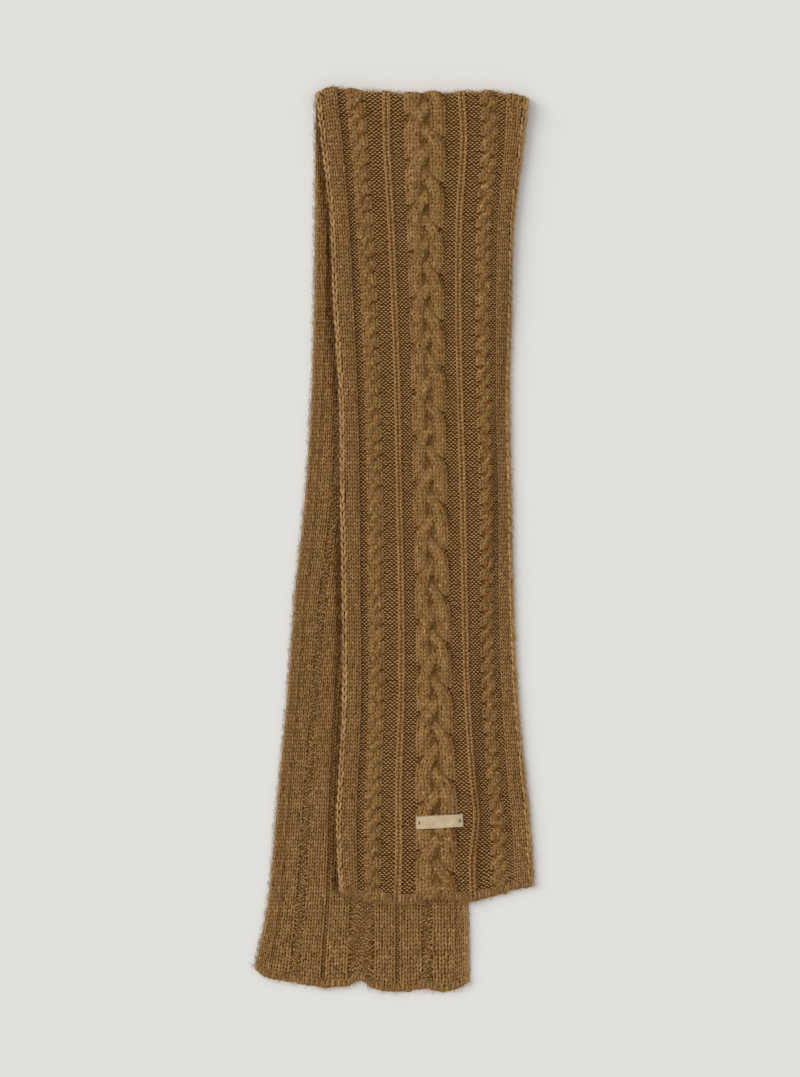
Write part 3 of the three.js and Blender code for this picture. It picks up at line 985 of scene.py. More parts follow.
@dataclass(frozen=True)
class PlaitStrand(Strand):
    """The plait: three strands that swing from side to side, over as they move outwards."""

    strands: int = 3
    spread: float = 1.48  # each strand fills nearly half of the band
    plump: float = 0.31
    unevenness: float = 0.055
    closed: float = 0.55
    swing: float = 2.65

    def angle(self, strand: Array, row: Array) -> Array:
        """The strand's swing: one full turn in BRAID_TURN rows, a third apart."""
        return 2 * np.pi * ((row - BRAID_PHASE) / BRAID_TURN + strand / 3)

    def lay(self, strand: Array, across: Array, row: Array) -> tuple[Array, Array]:
        """Strands run along the band's sides and cross over its middle in smooth arcs.

        x = swing arc(sin(a + 0.09 sin(2a))): an upper strand swings out a little early and the one
        under it swings in late. h = crest (0.66 + 0.34 sin(2a)), less the strand's own rounding.
        """
        angle = self.angle(strand, row)
        lean = np.sin(angle + 0.09 * np.sin(2 * angle))
        wale = self.band.middle + self.swing * arc_wave(lean)
        round_off = 2.6 * np.abs(across / 1.5) ** 2.8
        height = self.crest * (0.66 + 0.34 * np.sin(2 * angle)) - round_off
        return wale + across * self.spread, height

    def shade(self, strand: Array, across: Array, row: Array) -> Array:
        """Painted shade: both sides are darkened as creases amid the band, and only the inner side at its
        edges.
        """
        angle = self.angle(strand, row)
        inner = across * np.sin(angle) < 0
        return self.painted_crease_shade(across) * np.where(inner, 1.0, np.cos(angle) ** 2)

    def shown(self, strand: Array, row: Array) -> Array:
        """True where the strand isn't at the bottom of its swing, under the crossing one."""
        angle = self.angle(strand, row)
        return (np.sin(2 * angle) > -0.8) | (np.abs(np.sin(angle)) > 0.75)


@dataclass(frozen=True)
class Loop:
    """One kind of loop, with a column for each ring along its yarn.

    Its places along and sideways are in rows, wales or shares of a stitch. Its lift over the face and
    its half sizes are millimetres, and swell is a share of those sizes.
    """

    along: Array
    sideways: Array
    lift: Array
    swell: Array
    wide: float
    high: float
    tone: float
    tone_spread: float = 0.1
    sides: int = 5


PURL_BUMP = Loop(
    along=np.array([-0.29, 0.0, 0.29]),
    sideways=np.array([0.05, -0.03, 0.05]),
    lift=np.array([-1.65, -0.45, -1.65]),
    swell=np.array([0.62, 1.0, 0.62]),
    wide=0.86,
    high=0.95,
    tone=0.66,
    tone_spread=0.14,
    sides=4,
)
EDGE_LINK = Loop(
    along=np.array([1.2, 0.42, -0.4, -1.12]),
    sideways=np.array([0.06, 0.18, 0.3, 0.38]),
    lift=np.array([-1.2, -0.1, 0.0, -0.9]),
    swell=np.array([0.65, 1.0, 1.05, 0.65]),
    wide=1.5,
    high=1.35,
    tone=0.46,
)
RIM_LEG = Loop(
    along=np.array([0.6, 0.2, -0.2, -0.58]),
    sideways=np.array([0.04, 0.16, 0.2, 0.14]),
    lift=np.full(4, -0.85),
    swell=np.array([0.6, 1.0, 1.0, 0.6]),
    wide=1.4,
    high=0.9,
    tone=0.38,
)
HEM_LINK = Loop(
    along=np.array([0.0, 0.16, 0.2, 0.1]),
    sideways=np.array([-0.62, -0.2, 0.25, 0.66]),
    lift=np.array([-1.6, -0.9, -0.85, -1.5]),
    swell=np.array([0.6, 1.0, 1.0, 0.6]),
    wide=1.2,
    high=1.2,
    tone=0.32,
)
HEM_LOOP = Loop(
    along=np.array([0.04, 0.3, 0.7, 1.0]),
    sideways=np.array([0.04, 0.3, 0.7, 1.0]),
    lift=np.array([-1.3, 0.35, 0.3, -1.3]),
    swell=np.array([0.75, 1.0, 1.0, 0.6]),
    wide=1.3,
    high=1.3,
    tone=0.36,
    tone_spread=0.14,
)


def everywhere(wale: Array, row: Array) -> Array:
    """True for every place."""
    return np.ones(np.broadcast(wale, row).shape, bool)


@dataclass
class Knitter:
    """Makes a face's stitches as tubes of yarn."""

    face: Face
    rng: np.random.Generator
    bump: Loop = PURL_BUMP
    bump_lift: float = 0.0
    sink: float = 0.95  # how far the yarn's middle lies below a band's crest
    leg_height: float = 0.98
    leg_tone: float = 0.26
    link_middle: float = 0.42  # wales from the rim
    link_sink: float = 0.8
    link_stray: float = 0.06

    def width_at(self, wale: Array, row: Array) -> Array:
        """Returns the laid width of one stitch at a wale and row."""
        inner = np.clip(wale, 0.5, WALES - 0.5)
        y = self.face.y_at(inner, np.maximum(row, 0))
        return self.face.x_at(inner + 0.5, y) - self.face.x_at(inner - 0.5, y)

    def spin(self, skin: Skin, loop: Loop, middles: Array, ups: Array) -> None:
        """Adds a tube along each path, in the loop's sizes and with a tone drawn for each.

        Args:
            skin: where the tubes go.
            loop: the kind of loop.
            middles: the rings' places.
            ups: which way is up from the face at each.
        """
        wide = np.broadcast_to(loop.wide * loop.swell, middles.shape[:2])
        high = np.broadcast_to(loop.high * loop.swell, middles.shape[:2])
        tones = self.rng.normal(loop.tone, loop.tone_spread, len(middles))
        skin.add(*tubes(middles, ups, wide, high, tones, sides=loop.sides))

    def knit(self, skin: Skin, strand: Strand, rows: Array, keep: Keep = everywhere) -> None:
        """Adds a band's knit stitches: each is a V of two legs that meet at the lower end.

        Args:
            skin: where the tubes go.
            strand: the band's lie.
            rows: the rows that are knitted.
            keep: says which stitches show.
        """
        count = strand.stitches
        places = np.arange(count) + 0.5 - count / 2
        which, across, row = np.meshgrid(np.arange(strand.strands), places, rows, indexing="ij")
        which, across, row = which.ravel(), across.ravel(), row.ravel() + 0.5
        shown = strand.shown(which, row) & keep(strand.lay(which, across, row)[0], row)
        self.legs(skin, strand, which[shown], across[shown], row[shown])

    def legs(self, skin: Skin, strand: Strand, which: Array, across: Array, row: Array) -> None:
        """Adds two legs for each stitch, as short tubes of four rings.

        Each leg starts low at the stitch's foot, in its middle, and leans outwards to its head.

        Args:
            skin: where the tubes go.
            strand: the band's lie.
            which: each stitch's strand.
            across: each stitch's place in its strand.
            row: each stitch's row.
        """
        foot_to_head = np.array([0.58, 0.21, -0.19, -0.56])
        lean = 0.25 + strand.slant * np.array([-0.18, -0.06, 0.05, 0.14])
        ends = 0.25 + 0.75 * (1 - strand.smooth(np.tile(across, 2))[:, None])
        dip = np.array([1.0, 0.1, 0.0, 0.85]) * ends * strand.beading
        swell = 1 - np.array([0.42, 0.0, 0.0, 0.38]) * ends
        many = len(row)
        slack = self.rng.normal(0, strand.unevenness, (2 * many, 2))
        sign = np.repeat([-1.0, 1.0], many)[:, None]
        leg_row = np.tile(row, 2)[:, None] + foot_to_head + slack[:, :1]
        leg_across = np.tile(across, 2)[:, None] + sign * lean * strand.splay + slack[:, 1:]
        leg_which = np.broadcast_to(np.tile(which, 2)[:, None], leg_row.shape)
        wale, height = strand.lay(leg_which, leg_across, leg_row)
        leg_row = np.minimum(leg_row, self.face.rows)
        middles = self.face.place(wale, leg_row, height - self.sink - dip)
        ups = self.face.outward(wale, leg_row)
        wide = strand.plump * self.width_at(wale, leg_row) * strand.spread * swell
        tones = self.rng.normal(self.leg_tone, 0.1, 2 * many)
        # each strand's tone, with painted crease shade on the cable strands
        tones = tones + strand.shade(leg_which[:, 1], leg_across[:, 1], leg_row[:, 1])
        # painted shade: the back's yarn is darker where it is pressed down beside the front tail's edge,
        # standing for the shade there
        tones = tones - 0.2 * self.face.pressed(middles[:, 1, 0], middles[:, 1, 1])
        sides = 5 if strand.strands > 1 else 4
        skin.add(*tubes(middles, ups, wide, self.leg_height * swell, tones, sides=sides))

    def purl(
        self,
        skin: Skin,
        band: Band,
        rows: Array,
        pitch: float,
        keep: Keep = everywhere,
        jitter: float = 0.06,
        drift: float = 0.0,
    ) -> None:
        """Adds a band's purl stitches: heads, arched up, and between and below them sinkers.

        Args:
            skin: where the tubes go.
            band: the band of the chart.
            rows: the rows that are purled.
            pitch: the width of one purl stitch.
            keep: says which bumps show.
            jitter: how unevenly the bumps lie, in stitches.
            drift: how far they sway with the strands of a cable's reverse, in wales.
        """
        sample = np.array([band.start, band.end], float)
        width = float(np.diff(cloth_width(sample, self.face.side))[0])
        half = int(width / pitch / 2 + 0.75)
        centres = np.arange(-half, half + 1)
        stitch = band.stitches * pitch / width
        for shift, arch in ((0.0, 1.0), (0.5, -1.0)):
            across, row = np.meshgrid((centres + shift) * stitch, rows, indexing="ij")
            row = row.ravel() + 0.5 + shift
            sway = 4 * np.pi * row / BRAID_TURN + 1.1 * across.ravel()
            wale = band.middle + across.ravel() + drift * np.sin(sway)
            inside = (np.abs(wale - band.middle) < band.stitches / 2 + 0.35) & keep(wale, row)
            self.bumps(skin, wale[inside], row[inside], stitch, arch, jitter)

    def bumps(
        self, skin: Skin, wale: Array, row: Array, stitch: float, arch: float = 1.0, jitter: float = 0.06
    ) -> None:
        """Adds purl bumps as short arched tubes.

        Args:
            skin: where the tubes go.
            wale: each bump's middle.
            row: each bump's middle.
            stitch: a stitch's width in wales.
            arch: 1 for a head, -1 for a sinker.
            jitter: how unevenly the bumps lie, in stitches.
        """
        slack = self.rng.normal(0, jitter, (len(wale), 3))
        part = self.bump.along
        tube_wale = wale[:, None] + part * stitch * (1 + slack[:, :1])
        tube_row = row[:, None] + self.bump.sideways * arch + slack[:, 1:2] + slack[:, 2:] * part * 2
        tube_row = np.minimum(tube_row, self.face.rows)
        lift = np.broadcast_to(self.bump_lift + self.bump.lift, tube_wale.shape)
        middles = self.face.place(tube_wale, tube_row, lift)
        self.spin(skin, self.bump, middles, self.face.outward(tube_wale, tube_row))

    def edge_chain(self, skin: Skin, strand: Strand, rows: Array) -> None:
        """Adds the outermost stitches, slipped every other row: large, loose links.

        Each link is a V of two legs over two rows. The inner leg leans inwards to its head, and the
        outer one leans out over the rim.

        Args:
            skin: where the tubes go.
            strand: the edge band's lie.
            rows: the rows that it runs along.
        """
        row = rows[::2] + 1.0
        for side in (1.0, -1.0):
            slack = self.rng.normal(0, self.link_stray, (len(row), 3))
            from_rim = self.link_middle + side * EDGE_LINK.sideways + slack[:, :1]
            wale = from_rim if strand.inward > 0 else WALES - from_rim
            tube_row = np.minimum(row[:, None] + EDGE_LINK.along + slack[:, 1:2], self.face.rows)
            across = (wale - strand.band.middle) / strand.spread
            height = strand.lay(np.zeros_like(across), across, tube_row)[1]
            lift = EDGE_LINK.lift * (1 + slack[:, 2:])
            middles = self.face.place(wale, tube_row, height - self.link_sink + lift)
            self.spin(skin, EDGE_LINK, middles, self.face.outward(wale, tube_row))

    def selvedge(self, skin: Skin, left: bool, rows: Array, keep: Keep = everywhere) -> None:
        """Adds the legs that turn down over the rim, one for each row and edge.

        Args:
            skin: where the tubes go.
            left: the left rim, or the right one.
            rows: the rows that it runs along.
            keep: says which legs show.
        """
        row = rows + 0.5
        reach = RIM_LEG.sideways
        wale = np.broadcast_to(-reach if left else WALES + reach, (len(row), len(reach)))
        shown = keep(wale[:, 0], row)
        wale, row = wale[shown], row[shown]
        tube_row = np.minimum(row[:, None] + RIM_LEG.along, self.face.rows)
        middles = self.face.place(wale, tube_row, np.broadcast_to(RIM_LEG.lift, wale.shape))
        self.spin(skin, RIM_LEG, middles, self.face.outward(wale, tube_row))

    def hem_chain(self, skin: Skin) -> None:
        """Adds the cast-off edge: a chain of links, each a pair of legs that lean along the hem."""
        wander = self.rng.normal(0, 0.5, WALES)
        links = np.arange(WALES) + 0.5
        for side in (-1.0, 1.0):
            wale = links[:, None] + HEM_LINK.sideways + self.rng.normal(0, 0.05, (WALES, 1))
            tube_row = self.face.rows - 0.05 + np.zeros((WALES, 1)) + (HEM_LINK.along * side + 0.02)
            middles = self.face.place(wale, tube_row, np.broadcast_to(HEM_LINK.lift, wale.shape))
            middles[..., 1] -= 0.55 * (1 + side) + wander[:, None]
            middles[..., 2] -= 0.5 * (1 + side)
            ups = self.face.outward(wale, np.minimum(tube_row, self.face.rows - 1))
            self.spin(skin, HEM_LINK, middles, ups)

    def hem_loops(self, skin: Skin, reach: float) -> None:
        """Adds the last row's tall loops, one upright bulging leg for each wale.

        Args:
            skin: where the tubes go.
            reach: how many rows a loop is long.
        """
        part = HEM_LOOP.along
        longer = self.rng.normal(1.0, 0.16, (WALES, 1))
        tube_row = np.minimum(self.face.rows - part * reach * longer, self.face.rows - 0.02)
        stray = self.rng.normal(0, 0.07, (WALES, 1)) + part * self.rng.normal(0, 0.12, (WALES, 1))
        tube_wale = np.arange(WALES)[:, None] + 0.5 + stray
        middles = self.face.place(tube_wale, tube_row, np.broadcast_to(HEM_LOOP.lift, tube_wale.shape))
        middles[..., 1] -= self.rng.normal(0.8, 0.45, (WALES, 1)) * (1 - part)
        ups = self.face.outward(tube_wale, np.minimum(tube_row, self.face.rows - 1))
        self.spin(skin, HEM_LOOP, middles, ups)


def within_edges(wale: Array, row: Array) -> Array:
    """True for every wale but the outermost two, which are chains of their own."""
    return (wale > 1) & (wale < WALES - 1)


def strand_of(band: Band, side: Side) -> Strand:
    """Returns how a band's knit stitches lie on a face."""
    if band.kind is Kind.EDGE and side is Side.RIGHT:
        return EdgeRoll(band, 2.9)
    if side is Side.WRONG:
        if band.kind is Kind.EDGE:
            return EdgeRoll(band, 0.8, slant=0.7, ridge=1.4)
        return Strand(band, WRONG_CREST if band.kind is Kind.GUTTER else 0.0, slant=0.7)
    if band.kind is Kind.ROPE:
        phase = LEFT_ROPE_PHASE if band.middle < PLAIT_MIDDLE else RIGHT_ROPE_PHASE
        return RopeStrand(band, 2.3, phase=phase)
    if band.kind is Kind.BRAID:
        return PlaitStrand(band, 3.9)
    return RibStrand(band, 1.3) if band.kind is Kind.RIB else Strand(band, 0.0)


GROUND_SINK = 1.7
GROUND_RISES = {
    Side.RIGHT: {Kind.BRAID: 2.2, Kind.ROPE: 1.6, Kind.RIB: 1.6, Kind.EDGE: 1.0},
    Side.WRONG: {Kind.BRAID: 0.7, Kind.ROPE: 0.7},
}


def ground_skin(face: Face, first_row: float, last_row: float) -> Skin:
    """The ground behind the stitches: a thin closed shell on the solid's own form.

    The upper face is the ground, sunk by the yarn's depth and raised under the cables; the lower one
    lies on the underside.

    Args:
        face: the tail's face.
        first_row: where the shell starts.
        last_row: where it ends.

    Returns:
        The shell's skin, with wale and row as its UV map.
    """
    wales = np.arange(WALES + 1.0)
    wales[0], wales[-1] = 0.12, WALES - 0.12
    level = np.linspace(0, last_row, int(last_row / 1.7) + 2)
    rows = np.concatenate([np.linspace(first_row, 0, 9)[:-1], level]) if first_row < 0 else level
    wale, row = np.meshgrid(wales, rows, indexing="ij")
    depth = np.full(wale.shape, -GROUND_SINK)
    tone = np.zeros(wale.shape)
    rises = GROUND_RISES[face.side]
    for band in CHART:
        share = np.clip(1 - (np.abs(wale - band.middle) / (band.stitches * 0.5)) ** 4, 0, 1)
        depth = depth + rises.get(band.kind, 0) * np.sqrt(share)
        if band.kind in (Kind.ROPE, Kind.BRAID, Kind.RIB):
            tone = tone + np.sqrt(share)
    upper = face.place(wale, row, depth)
    lower = face.inner_side(wale, row)
    upper[..., 2] = np.maximum(upper[..., 2], lower[..., 2] + 0.2)
    return closed_sheet(upper, lower, np.stack([wale, row], -1), tone)


def grid_faces(index: Array) -> Array:
    """Returns the quads of a grid whose rows run down the page and columns to the right."""
    quads = np.stack([index[:-1, :-1], index[:-1, 1:], index[1:, 1:], index[1:, :-1]], -1)
    return quads.reshape(-1, 4)


def closed_sheet(upper: Array, lower: Array, uv: Array, tone: Array) -> Skin:
    """Joins two grids of points round their rims, with all faces outwards.

    Args:
        upper: (n, m, 3) places of the upper face.
        lower: (n, m, 3) places of the lower face, each under one of the upper ones.
        uv: (n, m, 2) texture places, the same for both.
        tone: (n, m) shades, the same for both.

    Returns:
        The closed sheet.
    """
    index = np.arange(tone.size).reshape(tone.shape)
    rim = np.concatenate([index[0, ::-1], index[1:-1, 0], index[-1, :], index[-2:0:-1, -1]])
    low_rim = rim + tone.size
    sides = np.stack([rim, low_rim, np.roll(low_rim, -1), np.roll(rim, -1)], -1)
    faces = [grid_faces(index), grid_faces(index + tone.size)[:, ::-1], sides]
    points = np.concatenate([upper.reshape(-1, 3), lower.reshape(-1, 3)])
    skin = Skin()
    skin.add(points, faces, np.tile(uv.reshape(-1, 2), (2, 1)), np.tile(tone.ravel(), 2))
    if face_volume(skin) < 0:
        skin.faces = [face[:, ::-1] for face in skin.faces]
    return skin


def face_volume(skin: Skin) -> float:
    """Returns six times the skin's signed volume, to tell whether its faces point outwards."""
    points = np.concatenate(skin.points)
    total = 0.0
    for face in skin.faces:
        a = points[face[:, 0]]
        for corner in range(1, face.shape[1] - 1):
            b, c = points[face[:, corner]], points[face[:, corner + 1]]
            total += float(np.einsum("ij,ij->", a, np.cross(b, c)))
    return total


@dataclass
class Label:
    """The small woven label, sewn across the plait near the front hem and left bare."""

    x: float = 50.2
    y: float = -296.0
    width: float = 50.0
    height: float = 13.5
    thickness: float = 0.8
    tilt: float = np.radians(3)
    arch: float = 6.8
    crest: float = 2.8
    tack_inset: float = 3.4
    tape: WovenTape = WovenTape("woven_satin_label_tape", "#d3bf9d", "#b29c78")
    thread: SewingThread = SewingThread("dark_sewing_thread", "#7a674a", "#4a3b28")

    def surface(self, u: Array, v: Array) -> Array:
        """Returns places on the cloth under the label: the solid's arch over the plait.

        Args:
            u: along the label, from its middle.
            v: across it.

        Returns:
            The places, with a last axis for x, y and z.
        """
        x = self.x + u * np.cos(self.tilt) - v * np.sin(self.tilt)
        y = self.y + u * np.sin(self.tilt) + v * np.cos(self.tilt)
        wales = np.linspace(10, 40, 600)
        line = FRONT.x_at(wales, np.full(600, self.y))
        wale = np.interp(x, line, wales)
        fall = np.clip(np.abs(wale - PLAIT_MIDDLE) / self.arch, 0, 1) ** 6
        row = (FOLD_Y - FOLD_SEAM - y) / ROW
        z = FRONT.under(wale, row) + WALL + self.crest * (1 - fall) + SEAM
        return np.stack([x, y, z], -1)

    def tape_skin(self) -> Skin:
        """The tape: a grid with rounded rims, a soft ripple, and its ends pulled down a little."""
        around = np.linspace(-1, 1, 41)
        over = np.linspace(-1, 1, 13)
        s, t = np.meshgrid(around, over, indexing="ij")
        u = s * (self.width / 2)
        v = t * (self.height / 2)
        seat = self.surface(u, v)
        rim = np.clip(np.minimum((1 - np.abs(s)) * self.width, (1 - np.abs(t)) * self.height), 0, 1)
        ripple = 0.12 * np.sin(u * 0.45 + 0.6) * (1 - t**2) + 0.2 * np.abs(t) ** 3
        upper, lower = seat.copy(), seat.copy()
        upper[..., 2] += self.thickness * (0.35 + 0.65 * np.sqrt(rim * (2 - rim))) + ripple
        lower[..., 2] += 0.02
        return closed_sheet(upper, lower, np.stack([u, v], -1), np.full(s.shape, 0.5))

    def tack_skin(self, side: int) -> Skin:
        """A tack: three short threads side by side, over the label's end."""
        middle = side * (self.width / 2 - self.tack_inset)
        u = middle + np.array([-0.42, 0.0, 0.42])[:, None] + np.zeros(5)
        v = np.broadcast_to(np.array([-1.6, -1.1, 0.0, 1.1, 1.6]), u.shape)
        paths = self.surface(u, v)
        paths[..., 2] += self.thickness + np.array([0.05, 0.42, 0.5, 0.42, 0.05])
        ups = np.broadcast_to(np.array([0.0, 0.0, 1.0]), paths.shape)
        size = np.full(u.shape, 0.26)
        skin = Skin()
        skin.add(*tubes(paths, ups, size, size, np.full(3, 0.5), sides=6))
        return skin

    def build(self) -> None:
        """Makes the tape and its two tacks, in place of the solids."""
        tape = put_mesh("label_tape", self.tape_skin(), "tape", self.tape.material())
        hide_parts("label")
        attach(tape, "root")
        thread = self.thread.material()
        for side, node in ((-1, "label_tack_left"), (1, "label_tack_right")):
            tack = put_mesh(f"{node}_thread", self.tack_skin(side), "along_yarn", thread)
            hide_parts(node)
            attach(tack, "root")


@dataclass
class Fuzz:
    """The nap: single fibres that lie on the yarn or stand out of it and soften every outline."""

    rng: np.random.Generator
    shortest: float = 4.0
    longest: float = 11.0
    thickness: float = 0.13

    def hairs(
        self,
        skin: Skin,
        face: Face,
        wale: Array,
        row: Array,
        height: Array,
        brushed: float,
        stand: float = 0.5,
    ) -> None:
        """Adds one bent hair at each place: a triangle in its middle, drawn out to two points.

        Args:
            skin: where the hairs go.
            face: the face that they stand on.
            wale: where each is rooted.
            row: where each is rooted.
            height: how high each root lies over the ground.
            brushed: from 0, hairs lie any way, to 1, they all lie along the wales.
            stand: how steeply the steepest hairs stand out.
        """
        many = len(wale)
        root = face.place(wale, row, height)
        normal = face.outward(wale, row)
        lean = self.rng.normal(0, 1, (many, 3))
        lean[:, 1] += np.where(self.rng.random(many) < 0.5, -1, 1) * brushed * 4
        lean = unit(lean - (lean * normal).sum(-1, keepdims=True) * normal)
        rise = self.rng.uniform(0.1 * stand, stand, many)[:, None]
        heading = unit(lean + normal * rise)
        length = self.rng.uniform(self.shortest, self.longest, many)[:, None]
        curl = unit(np.cross(heading, normal)) * self.rng.normal(0, 0.2, many)[:, None]
        middle = root + heading * length * 0.5 + curl * length * 0.25
        tip = root + heading * length * 0.95 - normal * rise * length * 0.45 + curl * length
        spokes = np.array([0, 2, 4]) / 3 * np.pi
        side = unit(np.cross(heading, normal))
        ring = (
            np.cos(spokes)[:, None] * side[:, None, :] + np.sin(spokes)[:, None] * normal[:, None, :]
        ) * self.thickness
        points = np.concatenate([root[:, None], middle[:, None] + ring, tip[:, None]], axis=1)
        points[..., 2] = np.maximum(points[..., 2], 0.1)
        first = np.arange(many)[:, None] * 5
        roots = [first + np.array(corner) for corner in ((0, 2, 1), (0, 3, 2), (0, 1, 3))]
        tips = [first + np.array(corner) for corner in ((1, 2, 4), (2, 3, 4), (3, 1, 4))]
        uvs = np.zeros((many * 5, 2))
        tones = np.repeat(self.rng.normal(0.5, 0.2, many), 5)
        skin.add(points.reshape(-1, 3), [*roots, *tips], uvs, tones)


@dataclass
class Scarf:
    """The whole scarf: grounds, stitches, hems and nap, tail by tail."""

    yarn: BrushedYarn = BrushedYarn("brushed_alpaca_yarn", "#a57d4b", "#5a3403")
    wrong_yarn: BrushedYarn = BrushedYarn("brushed_alpaca_yarn_wrong_side", "#a87f4c", "#573203")
    nap: BrushedYarn = BrushedYarn("teased_alpaca_fibres", "#b88e58", "#835a28")
    depth: KnitGround = KnitGround("knit_ground_in_shade", "#61390b", "#3a1f02", "#7a5a33")
    seed: int = 8044
    front_length: float = (FRONT_ROWS + FOLD_ROWS) * ROW
    back_length: float = BACK_ROWS * ROW
    width: float = 200.0
    hem_rows: int = 2
    purl_pitch: float = 4.5
    rim_hairs: int = 1700
    hem_hairs: int = 1100
    back_hairs: int = 9000
    nap_density: dict[Kind, float] = field(
        default_factory=lambda: {
            Kind.EDGE: 190,
            Kind.GUTTER: 36,
            Kind.ROPE: 400,
            Kind.RIB: 90,
            Kind.BRAID: 460,
        }
    )

    def __post_init__(self) -> None:
        """Makes the materials and the seeded generator once."""
        self.rng = np.random.default_rng(self.seed)
        self.yarn_material = self.yarn.material()
        self.wrong_material = self.wrong_yarn.material()
        self.nap_material = self.nap.material()
        self.depth_material = self.depth.material()

    def yarn_piece(self, name: str, skin: Skin, material: bpy.types.Material) -> bpy.types.Object:
        """Makes a piece of joined yarn that rides with the scarf, flattened where it rests."""
        for points in skin.points:
            points[:, 2] = np.maximum(points[:, 2], 0)
        piece = put_mesh(name, skin, "along_yarn", material)
        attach(piece, "root")
        triangles = sum(len(face) * (face.shape[1] - 2) for face in skin.faces)
        LOG.info("%s: %d triangles", name, triangles)
        return piece

    def ground_piece(self, name: str, skin: Skin, *nodes: str) -> bpy.types.Object:
        """Makes a ground shell that stands for one or two of the solids."""
        piece = put_mesh(name, skin, "wale_row", self.depth_material)
        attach(piece, "root")
        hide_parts(*nodes)
        return piece

    def front(self) -> list[bpy.types.Object]:
        """Knits the front tail and the fold, right side up."""
        knitter = Knitter(FRONT, self.rng)
        # painted shade: the bumps in the rib's seam take a darker tone, 0.3 against 0.66, standing for the
        # shade between its two ridges
        shaded_rib_seam = Knitter(FRONT, self.rng, bump_lift=0.6, bump=replace(PURL_BUMP, tone=0.3))
        rows = np.arange(-FOLD_ROWS, FRONT_ROWS)
        purled, last = rows[: -self.hem_rows], rows[-self.hem_rows :]
        names = {
            Kind.EDGE: "edge_band_yarn",
            Kind.GUTTER: "purl_gutter_yarn",
            Kind.ROPE: "rope_cable_yarn",
            Kind.RIB: "rib_yarn",
            Kind.BRAID: "plait_yarn",
        }
        skins = {kind: Skin() for kind in names}
        hem = Skin()
        for band in CHART:
            if band.kind is Kind.GUTTER:
                knitter.purl(skins[band.kind], band, purled, self.purl_pitch)
                knitter.knit(hem, Strand(band, 1.5), last)
                continue
            strand = strand_of(band, Side.RIGHT)
            knitter.knit(skins[band.kind], strand, rows, within_edges)
            if band.kind is Kind.EDGE:
                knitter.edge_chain(skins[band.kind], strand, rows)
            if band.kind is Kind.RIB:
                seam = np.full(len(rows), band.middle)
                shaded_rib_seam.bumps(skins[band.kind], seam, rows + 0.5, 1.1)
        for left in (True, False):
            knitter.selvedge(skins[Kind.EDGE], left, rows)
        knitter.hem_chain(hem)
        knitter.hem_loops(hem, 1.9)
        pieces = [self.yarn_piece(names[kind], skin, self.yarn_material) for kind, skin in skins.items()]
        pieces.append(self.yarn_piece("front_hem_yarn", hem, self.yarn_material))
        return pieces

    @staticmethod
    def back_shows(wale: Array, row: Array) -> Array:
        """True where the back tail shows past the front tail, with a margin under its edges."""
        y = BACK.y_at(np.clip(wale, 0, WALES), row)
        x = BACK.x_at(np.clip(wale, 0, WALES), y)
        beside = x < FRONT.x_at(np.zeros_like(y), y) + 6
        hem = FRONT.y_at(np.array(PLAIT_MIDDLE), np.array(float(FRONT_ROWS)))
        right_rim = x > FRONT.x_at(np.full_like(y, float(WALES)), y) - 4
        return beside | (y < hem + 18) | right_rim

    def back(self) -> list[bpy.types.Object]:
        """Knits what shows of the back tail, wrong side up."""
        knitter = Knitter(BACK, self.rng, bump_lift=0.3, bump=replace(PURL_BUMP, tone=0.42, wide=1.05))
        groove = Knitter(BACK, self.rng, bump_lift=-0.5, bump=replace(PURL_BUMP, tone=0.4, wide=1.0))
        rows = np.arange(0, BACK_ROWS)
        knit, bumps, hem = Skin(), Skin(), Skin()
        for band in CHART:
            if band.kind in (Kind.GUTTER, Kind.EDGE):
                knitter.knit(knit, strand_of(band, Side.WRONG), rows, self.back_shows)
            elif band.kind is Kind.RIB:
                groove.purl(bumps, band, rows, band.wrong_width * 2.4, self.back_shows)
            else:
                pitch = band.wrong_width * (1.25 if band.kind is Kind.BRAID else 1.5)
                knitter.purl(bumps, band, rows, pitch, self.back_shows, jitter=0.2, drift=0.4)
        for left in (True, False):
            knitter.selvedge(knit, left, rows, self.back_shows)
        knitter.hem_chain(hem)
        knitter.hem_loops(hem, 1.6)
        return [
            self.yarn_piece("back_knit_yarn", knit, self.wrong_material),
            self.yarn_piece("back_purl_yarn", bumps, self.wrong_material),
            self.yarn_piece("back_hem_yarn", hem, self.wrong_material),
        ]

    def rim_nap(self, skin: Skin, face: Face, wale: float, first_row: float, many: int) -> None:
        """Adds fine hairs that stand out of a rim.

        Args:
            skin: where the hairs go.
            face: the tail's face.
            wale: the rim's wale.
            first_row: where they start; they end at the hem.
            many: how many.
        """
        row = self.rng.uniform(first_row, face.rows, many)
        rims = Fuzz(self.rng, thickness=0.1)
        rims.hairs(skin, face, np.full(many, wale), row, np.full(many, -0.2), 0.2, stand=1.0)

    def hem_nap(self, skin: Skin, face: Face, rows: tuple[float, float], many: int) -> None:
        """Adds hairs along a hem or the fold.

        Args:
            skin: where the hairs go.
            face: the tail's face.
            rows: the rows between which they are rooted.
            many: how many.
        """
        wale, row = self.rng.uniform(0, WALES, many), self.rng.uniform(*rows, many)
        Fuzz(self.rng).hairs(skin, face, wale, row, np.full(many, -0.3), 0.3, stand=0.8)

